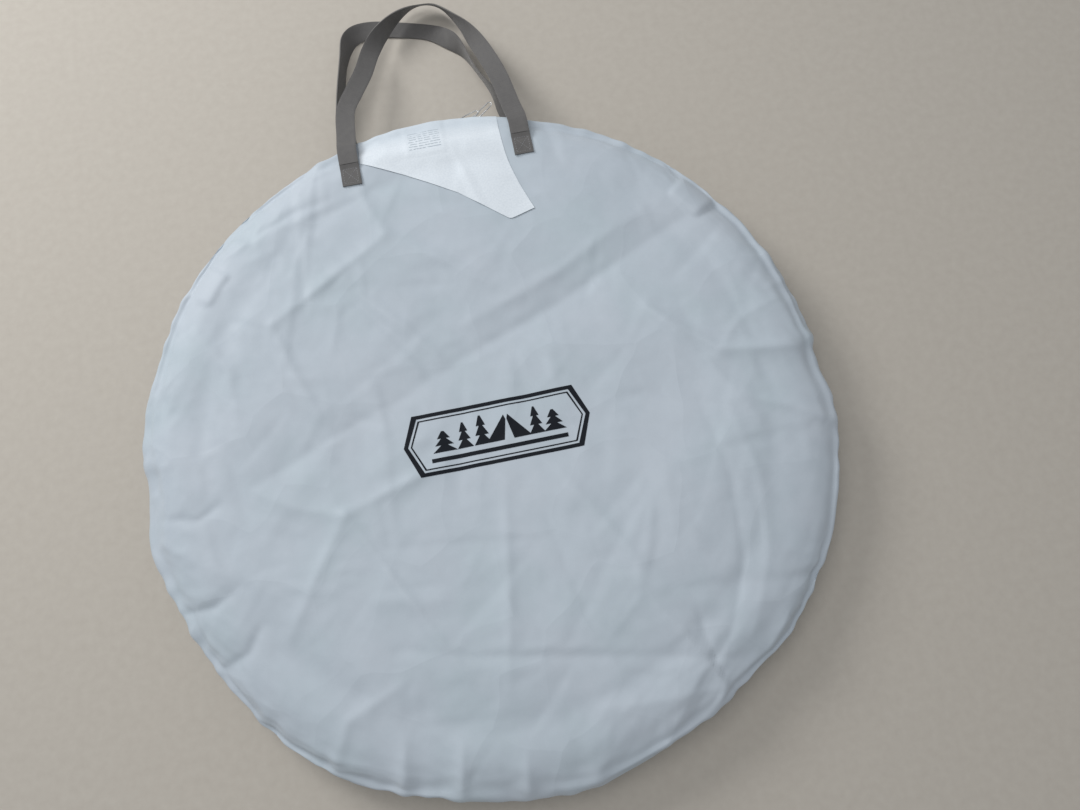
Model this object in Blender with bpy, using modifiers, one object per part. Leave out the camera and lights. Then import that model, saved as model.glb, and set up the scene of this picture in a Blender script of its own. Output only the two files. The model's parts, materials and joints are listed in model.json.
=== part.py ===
"""Pop-up ground blind packed in its round zipped carry bag, lying flat on the ground.

The origin is on the ground under the bag's centre. +Y points to the carry handles and +Z up.
The front panel is the upper one. Its far half is a flap that the zip round the rim sets free.
"""

import math

import bmesh
import bpy
from mathutils import Matrix, Vector

# ---- the bag, in metres ----
BAG_DIAMETER = 0.850
BAG_HEIGHT = 0.078          # ground to the crown of the front panel
EDGE_HEIGHT = 0.038         # ground to the edge seam, where the bag is widest
CROWN_INSET = 0.050         # rim to the circle where the front panel is highest
CENTRE_DIP = 0.013          # how far the front panel sags in the middle
FLOOR_INSET = 0.060         # rim to the flat underside
FABRIC = 0.0012             # coated bag cloth with its seam tape, as one thickness
GAP = 0.0003                # between pieces that touch
SEAM_TURN = 0.003           # straight strip of cloth beside each seam
HINGE_Y = 0.040             # fold line of the flap
SEGMENTS = 72               # facets round the bag
BINDING_DEPTH = 0.006       # folded tape over the raw edges inside the bag
BINDING_THICKNESS = 0.0024
BINDING_SET_BACK = 0.0010   # behind the cloth, to cover the facets of a curved panel

# ---- zip ----
CHAIN_GAP = 0.0010          # between the two coils
COIL_HEIGHT = 0.0020
COIL_DEPTH = 0.0022
COIL_PROUD = 0.0010         # the coil's outer side beyond the tape
TAPE_WIDTH = 0.0082
TAPE_THICKNESS = 0.0008
TAPE_TURN = 0.0015          # straight strip of tape beside its seam
ZIP_STEP = math.radians(4.0)
STOP_LENGTH = 0.003
SLIDER_LENGTH = 0.014
SLIDER_HEIGHT = 0.011
WING = 0.0012
WING_CLEARANCE = 0.0008     # covers the facets of the coil as the slider runs round
BRIDGE_LENGTH = 0.004
BRIDGE_THICKNESS = 0.0004
INNER_WING_SHARE = 0.8      # the wing inside the bag is smaller than the outer one
BAIL_HALF_LENGTH = 0.0045
BAIL_RISE = 0.0042
BAIL_WIRE = 0.0013
SLIDER_MEETING = math.radians(84.0)
SLIDER_SPACING = math.radians(2.9)
PULL_WIRE = 0.0014
PULL_WIDTH = 0.0058
PULL_POINTS = 26
PULL_TWIST = math.radians(80.0)             # the loop turns flat beyond the bail
PULL_TWIST_SPAN = (0.15, 0.65)              # shares of its length
PULL_FULLNESS = 2.2         # 1 is an ellipse, more is a long loop with round ends
LEFT_PULL = (0.034, math.radians(18.0))     # length, direction from +X
RIGHT_PULL = (0.038, math.radians(37.0))
TAB_WIDTH = 0.018
TAB_THICKNESS = 0.0012
TAB_ROUNDING = 0.0004       # the tab bridges the very edge of the seam
TAB_LIFT = 0.0002

# ---- webbing ----
STRAP_WIDTH = 0.025
STRAP_THICKNESS = 0.0016
HANDLE_HALF_SPAN = 0.113    # bag centre line to each sewn strap end
FRONT_SEWN_INSET = 0.067    # rim to the middle of the sewn ends, along the bag's centre line
SEWN_LENGTH = 0.030
BACK_SEWN_INSETS = (0.033, 0.009)
FRONT_LEG = (0.020, 0.001)  # first run of a front leg and its drop
BACK_LEG_RUN = 0.014
BACK_LEG_SHARE = 0.75       # height kept over that run
BACK_LEG_LEAN = 8
BACK_LEG_SPREADS = (0.004, 0.002)           # outwards over that run, left and right
STRAP_BEND = 0.0022         # free webbing between a sewn end and the part that swings
SEWN_CLEARANCE = 0.0006     # under a strap end, for its stitches and the facets of the panel

# ---- hang label ----
LABEL_THICKNESS = 0.0005
LABEL_HALF_WIDTH = 0.093
LABEL_LENGTHS = (0.046, 0.124)              # left side, right side
LABEL_CLEARANCE = 0.0024    # the leaf bridges the small label under it
LABEL_SEAM_INSET = 0.0007   # from the top of the flap's seam
CARE_LABEL_SPAN = (-0.034, 0.010)
CARE_LABEL_LENGTH = 0.048
CARE_LABEL_CLEARANCE = 0.0011

# ---- packed shelter ----
HOOP_ROD = 0.0045
HOOP_TURNS = 3
HOOP_INSET = 0.030          # rim to the middle of the hoop bundle
HOOP_BUNDLE = 0.0065        # rod centres from the middle of the bundle
HOOP_ROOM = 0.0020          # between the bound hoops and the bag's cloth
TURN_POINTS = 36
FERRULE_LENGTH = 0.024
FERRULE_WALL = 0.0008
CLOTH_INSET = 0.047         # rim to the folded cloth
FLOOR_CLOTH_INSET = 0.059   # rim to the folded floor skirt, where the underside curves in
CLOTH_ROUNDING = 0.35       # share of a layer's thickness
LAYER_SHARES = (0.30, 0.36, 0.34)           # floor skirt, walls, roof
LAYER_GAP = 0.0005
STACK_BASE = 0.0030
STACK_ROOM = 0.0055         # above and below the peg pouch, under the front panel
BAND_WIDTH = 0.025
BAND_THICKNESS = 0.0010
BAND_CLEARANCE = 0.0020     # covers the facets of the hoops
BAND_ROUNDING = 0.8         # corner radius as a share of the band's reach
BAND_ANGLES = (math.radians(142.0), math.radians(38.0))

# ---- pegs ----
PEG_WIRE = 0.0030
PEG_LENGTH = 0.170
PEG_COUNT = 4
PEG_PITCH = 0.0135
PEG_HOOK = 0.0030           # inner radius of the hook
PEG_BARB = 0.0060           # straight end of the hook
POUCH_PLACE = (-0.010, -0.130)
POUCH_LENGTH = 0.185
POUCH_WALL = 0.0008
POUCH_CLEARANCE = 0.0010

# ---- derived ----
RIM = BAG_DIAMETER / 2
CROWN = RIM - CROWN_INSET
FLAT = RIM - FLOOR_INSET
ZIP_HALF_HEIGHT = CHAIN_GAP / 2 + COIL_HEIGHT + GAP + TAPE_WIDTH
HINGE_Z = BAG_HEIGHT
FRONT_SEWN_Y = RIM - FRONT_SEWN_INSET
POUCH_HEIGHT = PEG_WIRE + 2 * POUCH_CLEARANCE + 2 * POUCH_WALL
STACK_TOP = BAG_HEIGHT - CENTRE_DIP - FABRIC - POUCH_HEIGHT - 2 * STACK_ROOM
BAND_REACH = HOOP_BUNDLE + HOOP_ROD / 2 + BAND_CLEARANCE + BAND_THICKNESS / 2
FLAP_SEAM_HEIGHT = EDGE_HEIGHT + ZIP_HALF_HEIGHT + GAP
ZIP_RIGHT = math.asin((HINGE_Y + 5 * GAP) / RIM)
ZIP_LEFT = math.pi - ZIP_RIGHT


def top_height(radius):
    """Outer surface of the front panel over a point at this distance from the centre."""
    if radius < CROWN:
        return BAG_HEIGHT - CENTRE_DIP * (1 - (radius / CROWN) ** 2) ** 2
    share = min((radius - CROWN) / CROWN_INSET, 1.0)
    return EDGE_HEIGHT + (BAG_HEIGHT - EDGE_HEIGHT) * math.sqrt(1 - share * share)


def bottom_height(radius):
    """Outer surface of the back panel under a point at this distance from the centre."""
    share = min(max(radius - FLAT, 0) / FLOOR_INSET, 1.0)
    return EDGE_HEIGHT * (1 - math.sqrt(1 - share * share))


def rim_radius(height):
    """Distance of the bag's outer surface from the axis near the edge seam."""
    if height > EDGE_HEIGHT:
        share = (height - EDGE_HEIGHT) / (BAG_HEIGHT - EDGE_HEIGHT)
        return CROWN + CROWN_INSET * math.sqrt(1 - share * share)
    share = (EDGE_HEIGHT - height) / EDGE_HEIGHT
    return FLAT + FLOOR_INSET * math.sqrt(1 - share * share)


def label_seam():
    """Distance from the centre at which the labels are sewn in."""
    return rim_radius(FLAP_SEAM_HEIGHT + SEAM_TURN) - LABEL_SEAM_INSET


def round_bag(radius, angle, height):
    return Vector((radius * math.cos(angle), radius * math.sin(angle), height))


# ---- scene and helpers ----
def empty_scene():
    for old in list(bpy.data.objects):
        bpy.data.objects.remove(old, do_unlink=True)
    for name in ("packed_pop_up_blind", "cutters"):
        bpy.context.scene.collection.children.link(bpy.data.collections.new(name))


def material(name, colour, roughness, metallic=0.0):
    made = bpy.data.materials.new(name)
    made.use_nodes = True
    shader = made.node_tree.nodes["Principled BSDF"]
    shader.inputs["Base Color"].default_value = (*colour, 1.0)
    shader.inputs["Roughness"].default_value = roughness
    shader.inputs["Metallic"].default_value = metallic
    made.diffuse_color = (*colour, 1.0)
    return made


def place(obj, name, look, collection="packed_pop_up_blind"):
    """Name an object, give it its own material and put it in its collection."""
    obj.name = name
    if look:
        obj.data.materials.clear()
        obj.data.materials.append(material(name, *look))
    for home in list(obj.users_collection):
        home.objects.unlink(obj)
    bpy.data.collections[collection].objects.link(obj)
    return obj


def from_bmesh(bm, name, look, collection="packed_pop_up_blind"):
    mesh = bpy.data.meshes.new(name)
    bm.to_mesh(mesh)
    bm.free()
    obj = bpy.data.objects.new(name, mesh)
    bpy.context.scene.collection.objects.link(obj)
    return place(obj, name, look, collection)


def solidify(obj, thickness, offset=-1.0):
    wall = obj.modifiers.new("thickness", "SOLIDIFY")
    wall.thickness = thickness
    wall.offset = offset
    wall.use_even_offset = True
    return obj


def turned(name, look, profile, thickness, start=0.0, sweep=math.tau, steps=SEGMENTS):
    """Cloth or tape turned round the bag's axis from its outer line, read top to bottom."""
    bm = bmesh.new()
    dots = [bm.verts.new((radius, 0, height)) for radius, height in profile]
    for upper, lower in zip(dots, dots[1:]):
        bm.edges.new((upper, lower))
    obj = from_bmesh(bm, name, look)
    obj.rotation_euler.z = start
    spin = obj.modifiers.new("turn", "SCREW")
    spin.angle = sweep
    spin.steps = steps
    spin.render_steps = steps
    spin.use_merge_vertices = True
    spin.merge_threshold = 0.00001
    spin.use_normal_calculate = False
    return solidify(obj, thickness)


def box(name, look, centre, size, turn=0.0, collection="packed_pop_up_blind"):
    bm = bmesh.new()
    bmesh.ops.create_cube(bm, size=1.0)
    bmesh.ops.scale(bm, vec=size, verts=bm.verts)
    obj = from_bmesh(bm, name, look, collection)
    obj.location = centre
    obj.rotation_euler.z = turn
    return obj


def cutter_box(name, low, high):
    centre = [(a + b) / 2 for a, b in zip(low, high)]
    size = [b - a for a, b in zip(low, high)]
    obj = box(name, None, centre, size, collection="cutters")
    obj.display_type = "WIRE"
    obj.hide_render = True
    return obj


def cut(obj, cutter):
    step = obj.modifiers.new(cutter.name, "BOOLEAN")
    step.operation = "DIFFERENCE"
    step.object = cutter


def join_solids(obj, tools):
    """Unite separate solids with the object; the tools stay hidden as its building blocks."""
    for tool in tools:
        tool.display_type = "WIRE"
        tool.hide_render = True
        step = obj.modifiers.new(tool.name, "BOOLEAN")
        step.operation = "UNION"
        step.object = tool


def wire(name, look, points, diameter, closed=False, collection="packed_pop_up_blind"):
    """A round wire or rod along a row of points."""
    data = bpy.data.curves.new(name, "CURVE")
    data.dimensions = "3D"
    data.bevel_depth = diameter / 2
    data.bevel_resolution = 2
    data.use_fill_caps = not closed
    line = data.splines.new("POLY")
    line.points.add(len(points) - 1)
    for dot, point in zip(line.points, points):
        dot.co = (*point, 1.0)
    line.use_cyclic_u = closed
    obj = bpy.data.objects.new(name, data)
    bpy.context.scene.collection.objects.link(obj)
    return place(obj, name, look, collection)


def as_mesh(obj):
    """The same object with its curve turned into a welded mesh, ready for a Boolean."""
    shape = bpy.data.meshes.new_from_object(obj.evaluated_get(bpy.context.evaluated_depsgraph_get()))
    bm = bmesh.new()
    bm.from_mesh(shape)
    bmesh.ops.remove_doubles(bm, verts=bm.verts, dist=0.00001)
    bm.to_mesh(shape)
    bm.free()
    mesh_obj = bpy.data.objects.new(obj.name, shape)
    mesh_obj.matrix_world = obj.matrix_world.copy()
    name = obj.name
    homes = list(obj.users_collection)
    bpy.data.objects.remove(obj, do_unlink=True)
    mesh_obj.name = name
    for home in homes:
        home.objects.link(mesh_obj)
    return mesh_obj


def smooth_route(stations, steps):
    """Catmull-Rom curve through hand-set stations, each a tuple of numbers of one length."""
    route = []
    last = len(stations) - 1
    for i in range(last):
        four = [stations[min(max(i + k, 0), last)] for k in (-1, 0, 1, 2)]
        for step in range(steps):
            t = step / steps
            weights = (
                (-t + 2 * t * t - t**3) / 2,
                (2 - 5 * t * t + 3 * t**3) / 2,
                (t + 4 * t * t - 3 * t**3) / 2,
                (t**3 - t * t) / 2,
            )
            route.append(tuple(sum(w * p[k] for w, p in zip(weights, four)) for k in range(len(four[0]))))
    route.append(tuple(stations[-1]))
    return route


def strip(name, look, middles, acrosses, width, thickness, closed=False):
    """A flat band: a plain grid laid along the middles and across the given directions."""
    count = len(middles)
    bm = bmesh.new()
    bmesh.ops.create_grid(bm, x_segments=count - 1, y_segments=1, size=1.0)
    ordered = sorted(bm.verts, key=lambda v: (round(v.co.x, 6), v.co.y))
    for index, vert in enumerate(ordered):
        station, side = divmod(index, 2)
        vert.co = middles[station] + acrosses[station] * (side - 0.5) * width
    if closed:
        bmesh.ops.remove_doubles(bm, verts=bm.verts, dist=0.00001)
    return solidify(from_bmesh(bm, name, look), thickness, 0.0)


def set_pivot(obj, point):
    """Move an object's origin to a joint's axis and leave its shape where it is."""
    shift = Vector(point) - obj.matrix_world.translation
    obj.data.transform(Matrix.Translation(-(obj.matrix_world.to_3x3().inverted() @ shift)))
    obj.location = Vector(point)


def hang_on(pivot_name, point, names):
    """Parent pieces that move together to one empty on their joint's axis."""
    pivot = bpy.data.objects.new(pivot_name, None)
    pivot.location = point
    bpy.data.collections["packed_pop_up_blind"].objects.link(pivot)
    for name in names:
        piece = bpy.data.objects[name]
        piece.parent = pivot
        piece.matrix_parent_inverse = Matrix.Translation(-Vector(point))


# ---- looks: colour, roughness, metallic ----
CLOTH = ((0.44, 0.51, 0.57), 0.55)
BINDING = ((0.62, 0.68, 0.73), 0.65)
WEBBING = ((0.17, 0.17, 0.19), 0.80)
TAPE = ((0.50, 0.56, 0.61), 0.70)
COIL = ((0.58, 0.63, 0.67), 0.45)
METAL = ((0.62, 0.62, 0.63), 0.30, 1.0)
LABEL = ((0.80, 0.84, 0.87), 0.60)
CARE = ((0.74, 0.76, 0.78), 0.70)
ROD = ((0.06, 0.06, 0.06), 0.35)
STEEL = ((0.55, 0.55, 0.56), 0.35, 1.0)
CANOPY = ((0.22, 0.21, 0.15), 0.70)
CANOPY_DARK = ((0.05, 0.05, 0.05), 0.80)
ELASTIC = ((0.05, 0.05, 0.05), 0.75)
POUCH = ((0.20, 0.19, 0.14), 0.75)


# ---- bag panels ----
def front_profile(lowest):
    inner = [CROWN * share for share in (0.0, 0.34, 0.62, 0.85, 1.0)]
    drop = [CROWN + CROWN_INSET * math.sin(math.radians(a)) for a in (25, 45, 62)]
    line = [(radius, top_height(radius)) for radius in inner + drop]
    line.append((rim_radius(lowest), lowest + SEAM_TURN))
    line.append((rim_radius(lowest), lowest))
    return line


def back_profile(highest):
    rise = [FLAT + FLOOR_INSET * math.sin(math.radians(a)) for a in (66, 46, 26)]
    line = [(rim_radius(highest), highest), (rim_radius(highest), highest - SEAM_TURN)]
    line += [(radius, bottom_height(radius)) for radius in rise]
    line += [(FLAT, 0.0), (FLAT * 0.5, 0.0), (0.0, 0.0)]
    return line


def make_panels():
    far = BAG_DIAMETER
    flap_side = cutter_box("flap_side", (-far, HINGE_Y - GAP, -far), (far, far, far))
    fixed_side = cutter_box("fixed_side", (-far, -far, -far), (far, HINGE_Y + GAP, far))
    zip_side = cutter_box(
        "zip_side", (-far, HINGE_Y, EDGE_HEIGHT - ZIP_HALF_HEIGHT - GAP), (far, far, far)
    )
    lower = turned("front_panel_fixed", CLOTH, front_profile(EDGE_HEIGHT + GAP), FABRIC)
    cut(lower, flap_side)
    upper = turned("front_panel_flap", CLOTH, front_profile(FLAP_SEAM_HEIGHT), FABRIC)
    cut(upper, fixed_side)
    back = turned("back_panel", CLOTH, back_profile(EDGE_HEIGHT - GAP), FABRIC)
    cut(back, zip_side)


def zip_arc(name, look, profile, thickness, margin=0.0):
    sweep = ZIP_LEFT - ZIP_RIGHT - 2 * margin
    steps = round(sweep / ZIP_STEP)
    return turned(name, look, profile, thickness, ZIP_RIGHT + margin, sweep, steps)


def make_bindings():
    """Folded tape over the raw cloth edges, inside the bag behind each seam."""
    behind = FABRIC + GAP + BINDING_SET_BACK
    half = BINDING_THICKNESS / 2
    sewn = turned(
        "edge_seam_binding",
        BINDING,
        [(RIM - behind, EDGE_HEIGHT + half), (RIM - behind, EDGE_HEIGHT - half)],
        BINDING_DEPTH,
        ZIP_LEFT,
        math.tau - (ZIP_LEFT - ZIP_RIGHT),
    )
    sewn.modifiers["turn"].steps = SEGMENTS // 2
    sewn.modifiers["turn"].render_steps = SEGMENTS // 2
    for name, sign in (("flap_seam_binding", 1), ("mouth_seam_binding", -1)):
        middle = EDGE_HEIGHT + sign * (ZIP_HALF_HEIGHT + GAP)
        line = rim_radius(middle + sign * half) - behind
        zip_arc(name, BINDING, [(line, middle + half), (line, middle - half)], BINDING_DEPTH)


def make_zip():
    coil_out = RIM + COIL_PROUD
    near = EDGE_HEIGHT + CHAIN_GAP / 2
    far = near + COIL_HEIGHT
    seam = far + GAP + TAPE_WIDTH
    mirror = 2 * EDGE_HEIGHT
    upper_tape = [
        (rim_radius(seam), seam),
        (rim_radius(seam), seam - TAPE_TURN),
        (RIM, near + SLIDER_HEIGHT / 2),
        (RIM, far + GAP),
    ]
    lower_tape = [
        (RIM, mirror - far - GAP),
        (RIM, mirror - near - SLIDER_HEIGHT / 2),
        (rim_radius(mirror - seam), mirror - seam + TAPE_TURN),
        (rim_radius(mirror - seam), mirror - seam),
    ]
    zip_arc("zip_tape_flap", TAPE, upper_tape, TAPE_THICKNESS)
    zip_arc("zip_tape_mouth", TAPE, lower_tape, TAPE_THICKNESS)
    stop = (STOP_LENGTH + GAP) / RIM
    zip_arc("zip_coil_flap", COIL, [(coil_out, far), (coil_out, near)], COIL_DEPTH, stop)
    zip_arc(
        "zip_coil_mouth", COIL, [(coil_out, mirror - near), (coil_out, mirror - far)], COIL_DEPTH, stop
    )
    middle = coil_out - COIL_DEPTH / 2
    for name, angle in (("zip_stop_left", ZIP_LEFT), ("zip_stop_right", ZIP_RIGHT)):
        inward = -1 if angle > math.pi / 2 else 1
        turn = angle + inward * (STOP_LENGTH / 2) / RIM
        place_at = round_bag(middle, turn, EDGE_HEIGHT - CHAIN_GAP / 2 - COIL_HEIGHT / 2)
        box(name, METAL, place_at, (COIL_DEPTH, STOP_LENGTH - GAP, COIL_HEIGHT), turn)


def make_slider(side, angle, pull):
    """One slider: two wings joined by a bridge between the coils, and the bail for its pull."""
    coil_middle = RIM + COIL_PROUD - COIL_DEPTH / 2
    channel = COIL_DEPTH / 2 + WING_CLEARANCE
    outer = coil_middle + channel + WING / 2
    inner = coil_middle - channel - WING / 2
    nose = 1 if side == "left" else -1
    body = box(
        f"zip_slider_{side}",
        METAL,
        round_bag(outer, angle, EDGE_HEIGHT),
        (WING, SLIDER_LENGTH, SLIDER_HEIGHT),
        angle,
    )
    back_wing = box(
        f"slider_{side}_inner_wing",
        None,
        round_bag(inner, angle, EDGE_HEIGHT),
        (WING, SLIDER_LENGTH * INNER_WING_SHARE, SLIDER_HEIGHT * INNER_WING_SHARE),
        angle,
        "cutters",
    )
    shift = nose * (SLIDER_LENGTH * INNER_WING_SHARE - BRIDGE_LENGTH) / 2 / RIM
    bridge = box(
        f"slider_{side}_bridge",
        None,
        round_bag(coil_middle, angle - shift, EDGE_HEIGHT),
        (2 * channel + WING, BRIDGE_LENGTH, BRIDGE_THICKNESS),
        angle,
        "cutters",
    )
    arch = []
    radial = round_bag(1, angle, 0)
    tangent = round_bag(1, angle + math.pi / 2, 0)
    foot = round_bag(outer, angle, EDGE_HEIGHT)
    for step in range(9):
        bend = math.pi * step / 8
        out = radial * math.sqrt(math.sin(bend)) * BAIL_RISE
        arch.append(foot + tangent * math.cos(bend) * BAIL_HALF_LENGTH + out)
    bail = as_mesh(wire(f"slider_{side}_bail", None, arch, BAIL_WIRE, collection="cutters"))
    join_solids(body, (back_wing, bridge, bail))
    set_pivot(body, (0, 0, EDGE_HEIGHT))

    length, heading = pull
    pivot = foot + radial * (WING / 2 + (BAIL_RISE - WING / 2) / 2 - BAIL_WIRE / 4)
    ahead = Vector((math.cos(heading), math.sin(heading), 0))
    flat = Vector((-math.sin(heading), math.cos(heading), 0))
    loop = []
    for step in range(PULL_POINTS):
        turn = math.tau * step / PULL_POINTS
        along = (1 - math.cos(turn)) / 2
        begins, ends = PULL_TWIST_SPAN
        twist = PULL_TWIST * min(max((along - begins) / (ends - begins), 0), 1)
        across = Vector((0, 0, 1)) * math.cos(twist) + flat * math.sin(twist)
        round_end = math.copysign(min(abs(math.sin(turn)) * PULL_FULLNESS, 1.0), math.sin(turn))
        loop.append(pivot + ahead * along * length + across * round_end * PULL_WIDTH / 2)
    tab = wire(f"pull_tab_{side}", METAL, loop, PULL_WIRE, closed=True)
    tab.data.transform(Matrix.Translation(-pivot))
    tab.location = pivot


def make_zip_tabs():
    """A fold of cloth over each end of the zip, where the mouth's corner is sewn down."""
    for name, angle in (("zip_end_tab_left", ZIP_LEFT), ("zip_end_tab_right", ZIP_RIGHT)):
        sign = 1 if angle > math.pi / 2 else -1
        middle = angle + sign * (TAB_WIDTH / 2 + 2 * GAP) / RIM
        low = EDGE_HEIGHT - ZIP_HALF_HEIGHT
        high = EDGE_HEIGHT + ZIP_HALF_HEIGHT
        clear = GAP + TAB_LIFT + TAB_THICKNESS / 2
        heights = [low + (high - low) * k / 6 for k in range(7)]
        radii = [max(rim_radius(h), RIM - TAB_ROUNDING) + clear for h in heights]
        middles = [round_bag(r, middle, h) for r, h in zip(radii, heights)]
        across = round_bag(1, middle + math.pi / 2, 0)
        strip(name, CLOTH, middles, [across] * len(middles), TAB_WIDTH, TAB_THICKNESS)


# ---- webbing handles ----
# Stations from the left leg round to the right one: x as a share of the half span, distance
# beyond the rim, height as a share of the sewn ends' height plus a share of the strap width
# that lifts it over the other loop, and lean in degrees.
FRONT_LOOP = (
    (-0.99, -0.008, 0.900, 0.0, 0),
    (-0.96, 0.037, 0.686, 0.2, 4),
    (-0.84, 0.072, 0.429, 0.5, 8),
    (-0.69, 0.107, 0.180, 0.9, 14),
    (-0.57, 0.140, 0.078, 1.0, 25),
    (-0.41, 0.169, 0.050, 0.9, 45),
    (-0.16, 0.189, 0.052, 0.8, 70),
    (0.11, 0.200, 0.032, 0.8, 84),
    (0.35, 0.194, 0.032, 0.8, 84),
    (0.57, 0.169, 0.040, 0.9, 70),
    (0.71, 0.135, 0.098, 1.0, 45),
    (0.82, 0.096, 0.324, 0.7, 20),
    (0.91, 0.051, 0.613, 0.3, 6),
    (0.97, -0.004, 0.890, 0.0, 0),
)
# The same for the loop that lies on the ground, without the heights.
BACK_LOOP = (
    (-1.06, 0.015, 25),
    (-1.07, 0.050, 55),
    (-1.03, 0.095, 75),
    (-0.94, 0.145, 80),
    (-0.81, 0.182, 45),
    (-0.55, 0.197, 8),
    (-0.18, 0.190, 0),
    (0.18, 0.178, 0),
    (0.39, 0.159, 15),
    (0.54, 0.131, 45),
    (0.65, 0.093, 60),
    (0.80, 0.057, 50),
    (0.97, 0.019, 25),
)


def off_surface(x, y, surface, lift):
    """The point this far off a panel, square to it; a negative lift is below the back panel."""
    radius = math.hypot(x, y)
    slope = (surface(radius + GAP) - surface(radius - GAP)) / (2 * GAP)
    square = Vector((-slope * x / radius, -slope * y / radius, 1)).normalized()
    return Vector((x, y, surface(radius))) + square * lift


def sewn_end(name, start, end, across, surface, lift):
    """A strap end stitched down along the bag's surface."""
    steps = 5
    spots = [start.lerp(end, k / (steps - 1)) for k in range(steps)]
    middles = [off_surface(spot.x, spot.y, surface, lift) for spot in spots]
    strip(name, WEBBING, middles, [across] * steps, STRAP_WIDTH, STRAP_THICKNESS)
    return middles[-1]


def handle_loop(name, stations, steps=3):
    """Webbing loop through stations of x, y, z and lean: 0 is flat, 90 stands on its edge."""
    route = smooth_route(stations, steps)
    middles = [Vector((x, y, max(z, on_ground(lean)))) for x, y, z, lean in route]
    acrosses = []
    for k in range(len(middles)):
        ahead = middles[min(k + 1, len(middles) - 1)] - middles[max(k - 1, 0)]
        side = ahead.cross(Vector((0, 0, 1))).normalized()
        up = side.cross(ahead).normalized()
        lean = math.radians(route[k][3])
        acrosses.append(side * math.cos(lean) - up * math.sin(lean))
    return strip(name, WEBBING, middles, acrosses, STRAP_WIDTH, STRAP_THICKNESS)


def on_ground(lean):
    """Height of the strap's middle when its lower edge touches the ground at this lean."""
    tilt = math.radians(lean)
    return 3 * GAP + STRAP_WIDTH / 2 * math.sin(tilt) + STRAP_THICKNESS / 2 * math.cos(tilt)


def make_handles():
    span = HANDLE_HALF_SPAN
    lift = SEWN_CLEARANCE + STRAP_THICKNESS / 2
    near = FRONT_SEWN_Y - SEWN_LENGTH / 2
    far = FRONT_SEWN_Y + SEWN_LENGTH / 2
    across = Vector((1, 0, 0))
    for name, x in (("front_strap_end_left", -span), ("front_strap_end_right", span)):
        last = sewn_end(name, Vector((x, near, 0)), Vector((x, far, 0)), across, top_height, lift)
    start = last.y + STRAP_BEND
    rise = last.z
    run, drop = FRONT_LEG
    front = [(-span, start, rise, 0), (-span, start + run, rise - drop, 0)]
    for share, out, up, over, lean in FRONT_LOOP:
        front.append((share * span, RIM + out, up * rise + over * STRAP_WIDTH, lean))
    front += [(span, start + run, rise - drop, 0), (span, start, rise, 0)]
    loop = handle_loop("front_handle", front)
    set_pivot(loop, (0, start, rise))

    inside, outside = [RIM - inset for inset in BACK_SEWN_INSETS]
    turn = math.asin(span * 2 / (inside + outside))
    for name, sign in (("back_strap_end_left", 1), ("back_strap_end_right", -1)):
        angle = math.pi / 2 + sign * turn
        ends = [round_bag(radius, angle, 0) for radius in (inside, outside)]
        across = round_bag(1, angle - math.pi / 2, 0)
        last = sewn_end(name, *ends, across, bottom_height, -lift)
    x = last.x + STRAP_BEND * math.sin(turn)
    start = last.y + STRAP_BEND * math.cos(turn)
    low = last.z
    left, right = BACK_LEG_SPREADS
    further = (start + BACK_LEG_RUN, low * BACK_LEG_SHARE, BACK_LEG_LEAN)
    back = [(-x, start, low, 0), (-x - left, *further)]
    back += [(share * span, RIM + out, 0, lean) for share, out, lean in BACK_LOOP]
    back += [(x + right, *further), (x, start, low, 0)]
    loop = handle_loop("back_handle", back)
    set_pivot(loop, (0, start, low))


def leaf(name, look, span, lengths, clearance, across, along):
    """Thin leaf sewn in at the rim and lying on the flap; its two sides may differ in length."""
    bm = bmesh.new()
    bmesh.ops.create_grid(bm, x_segments=across, y_segments=along, size=1.0)
    for vert in bm.verts:
        share = (vert.co.x + 1) / 2
        down = (1 - vert.co.y) / 2
        x = span[0] + (span[1] - span[0]) * share
        length = lengths[0] + (lengths[1] - lengths[0]) * share
        radius = label_seam() - down * length
        y = math.sqrt(radius * radius - x * x)
        vert.co = off_surface(x, y, top_height, clearance + LABEL_THICKNESS / 2)
    obj = solidify(from_bmesh(bm, name, look), LABEL_THICKNESS, 0.0)
    set_pivot(obj, off_surface(0, label_seam(), top_height, LABEL_CLEARANCE + LABEL_THICKNESS))


def make_labels():
    both = (-LABEL_HALF_WIDTH, LABEL_HALF_WIDTH)
    leaf("hang_label", LABEL, both, LABEL_LENGTHS, LABEL_CLEARANCE, 10, 12)
    short = (CARE_LABEL_LENGTH, CARE_LABEL_LENGTH)
    leaf("care_label", CARE, CARE_LABEL_SPAN, short, CARE_LABEL_CLEARANCE, 2, 8)


# ---- packed shelter ----
def hoop_heights():
    """Middles of the lower and upper coiled hoops, where their bands just clear the panels."""
    outermost = RIM - HOOP_INSET + BAND_REACH
    clear = FABRIC + BAND_REACH + HOOP_ROOM
    return bottom_height(outermost) + clear, top_height(outermost) - clear


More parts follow.
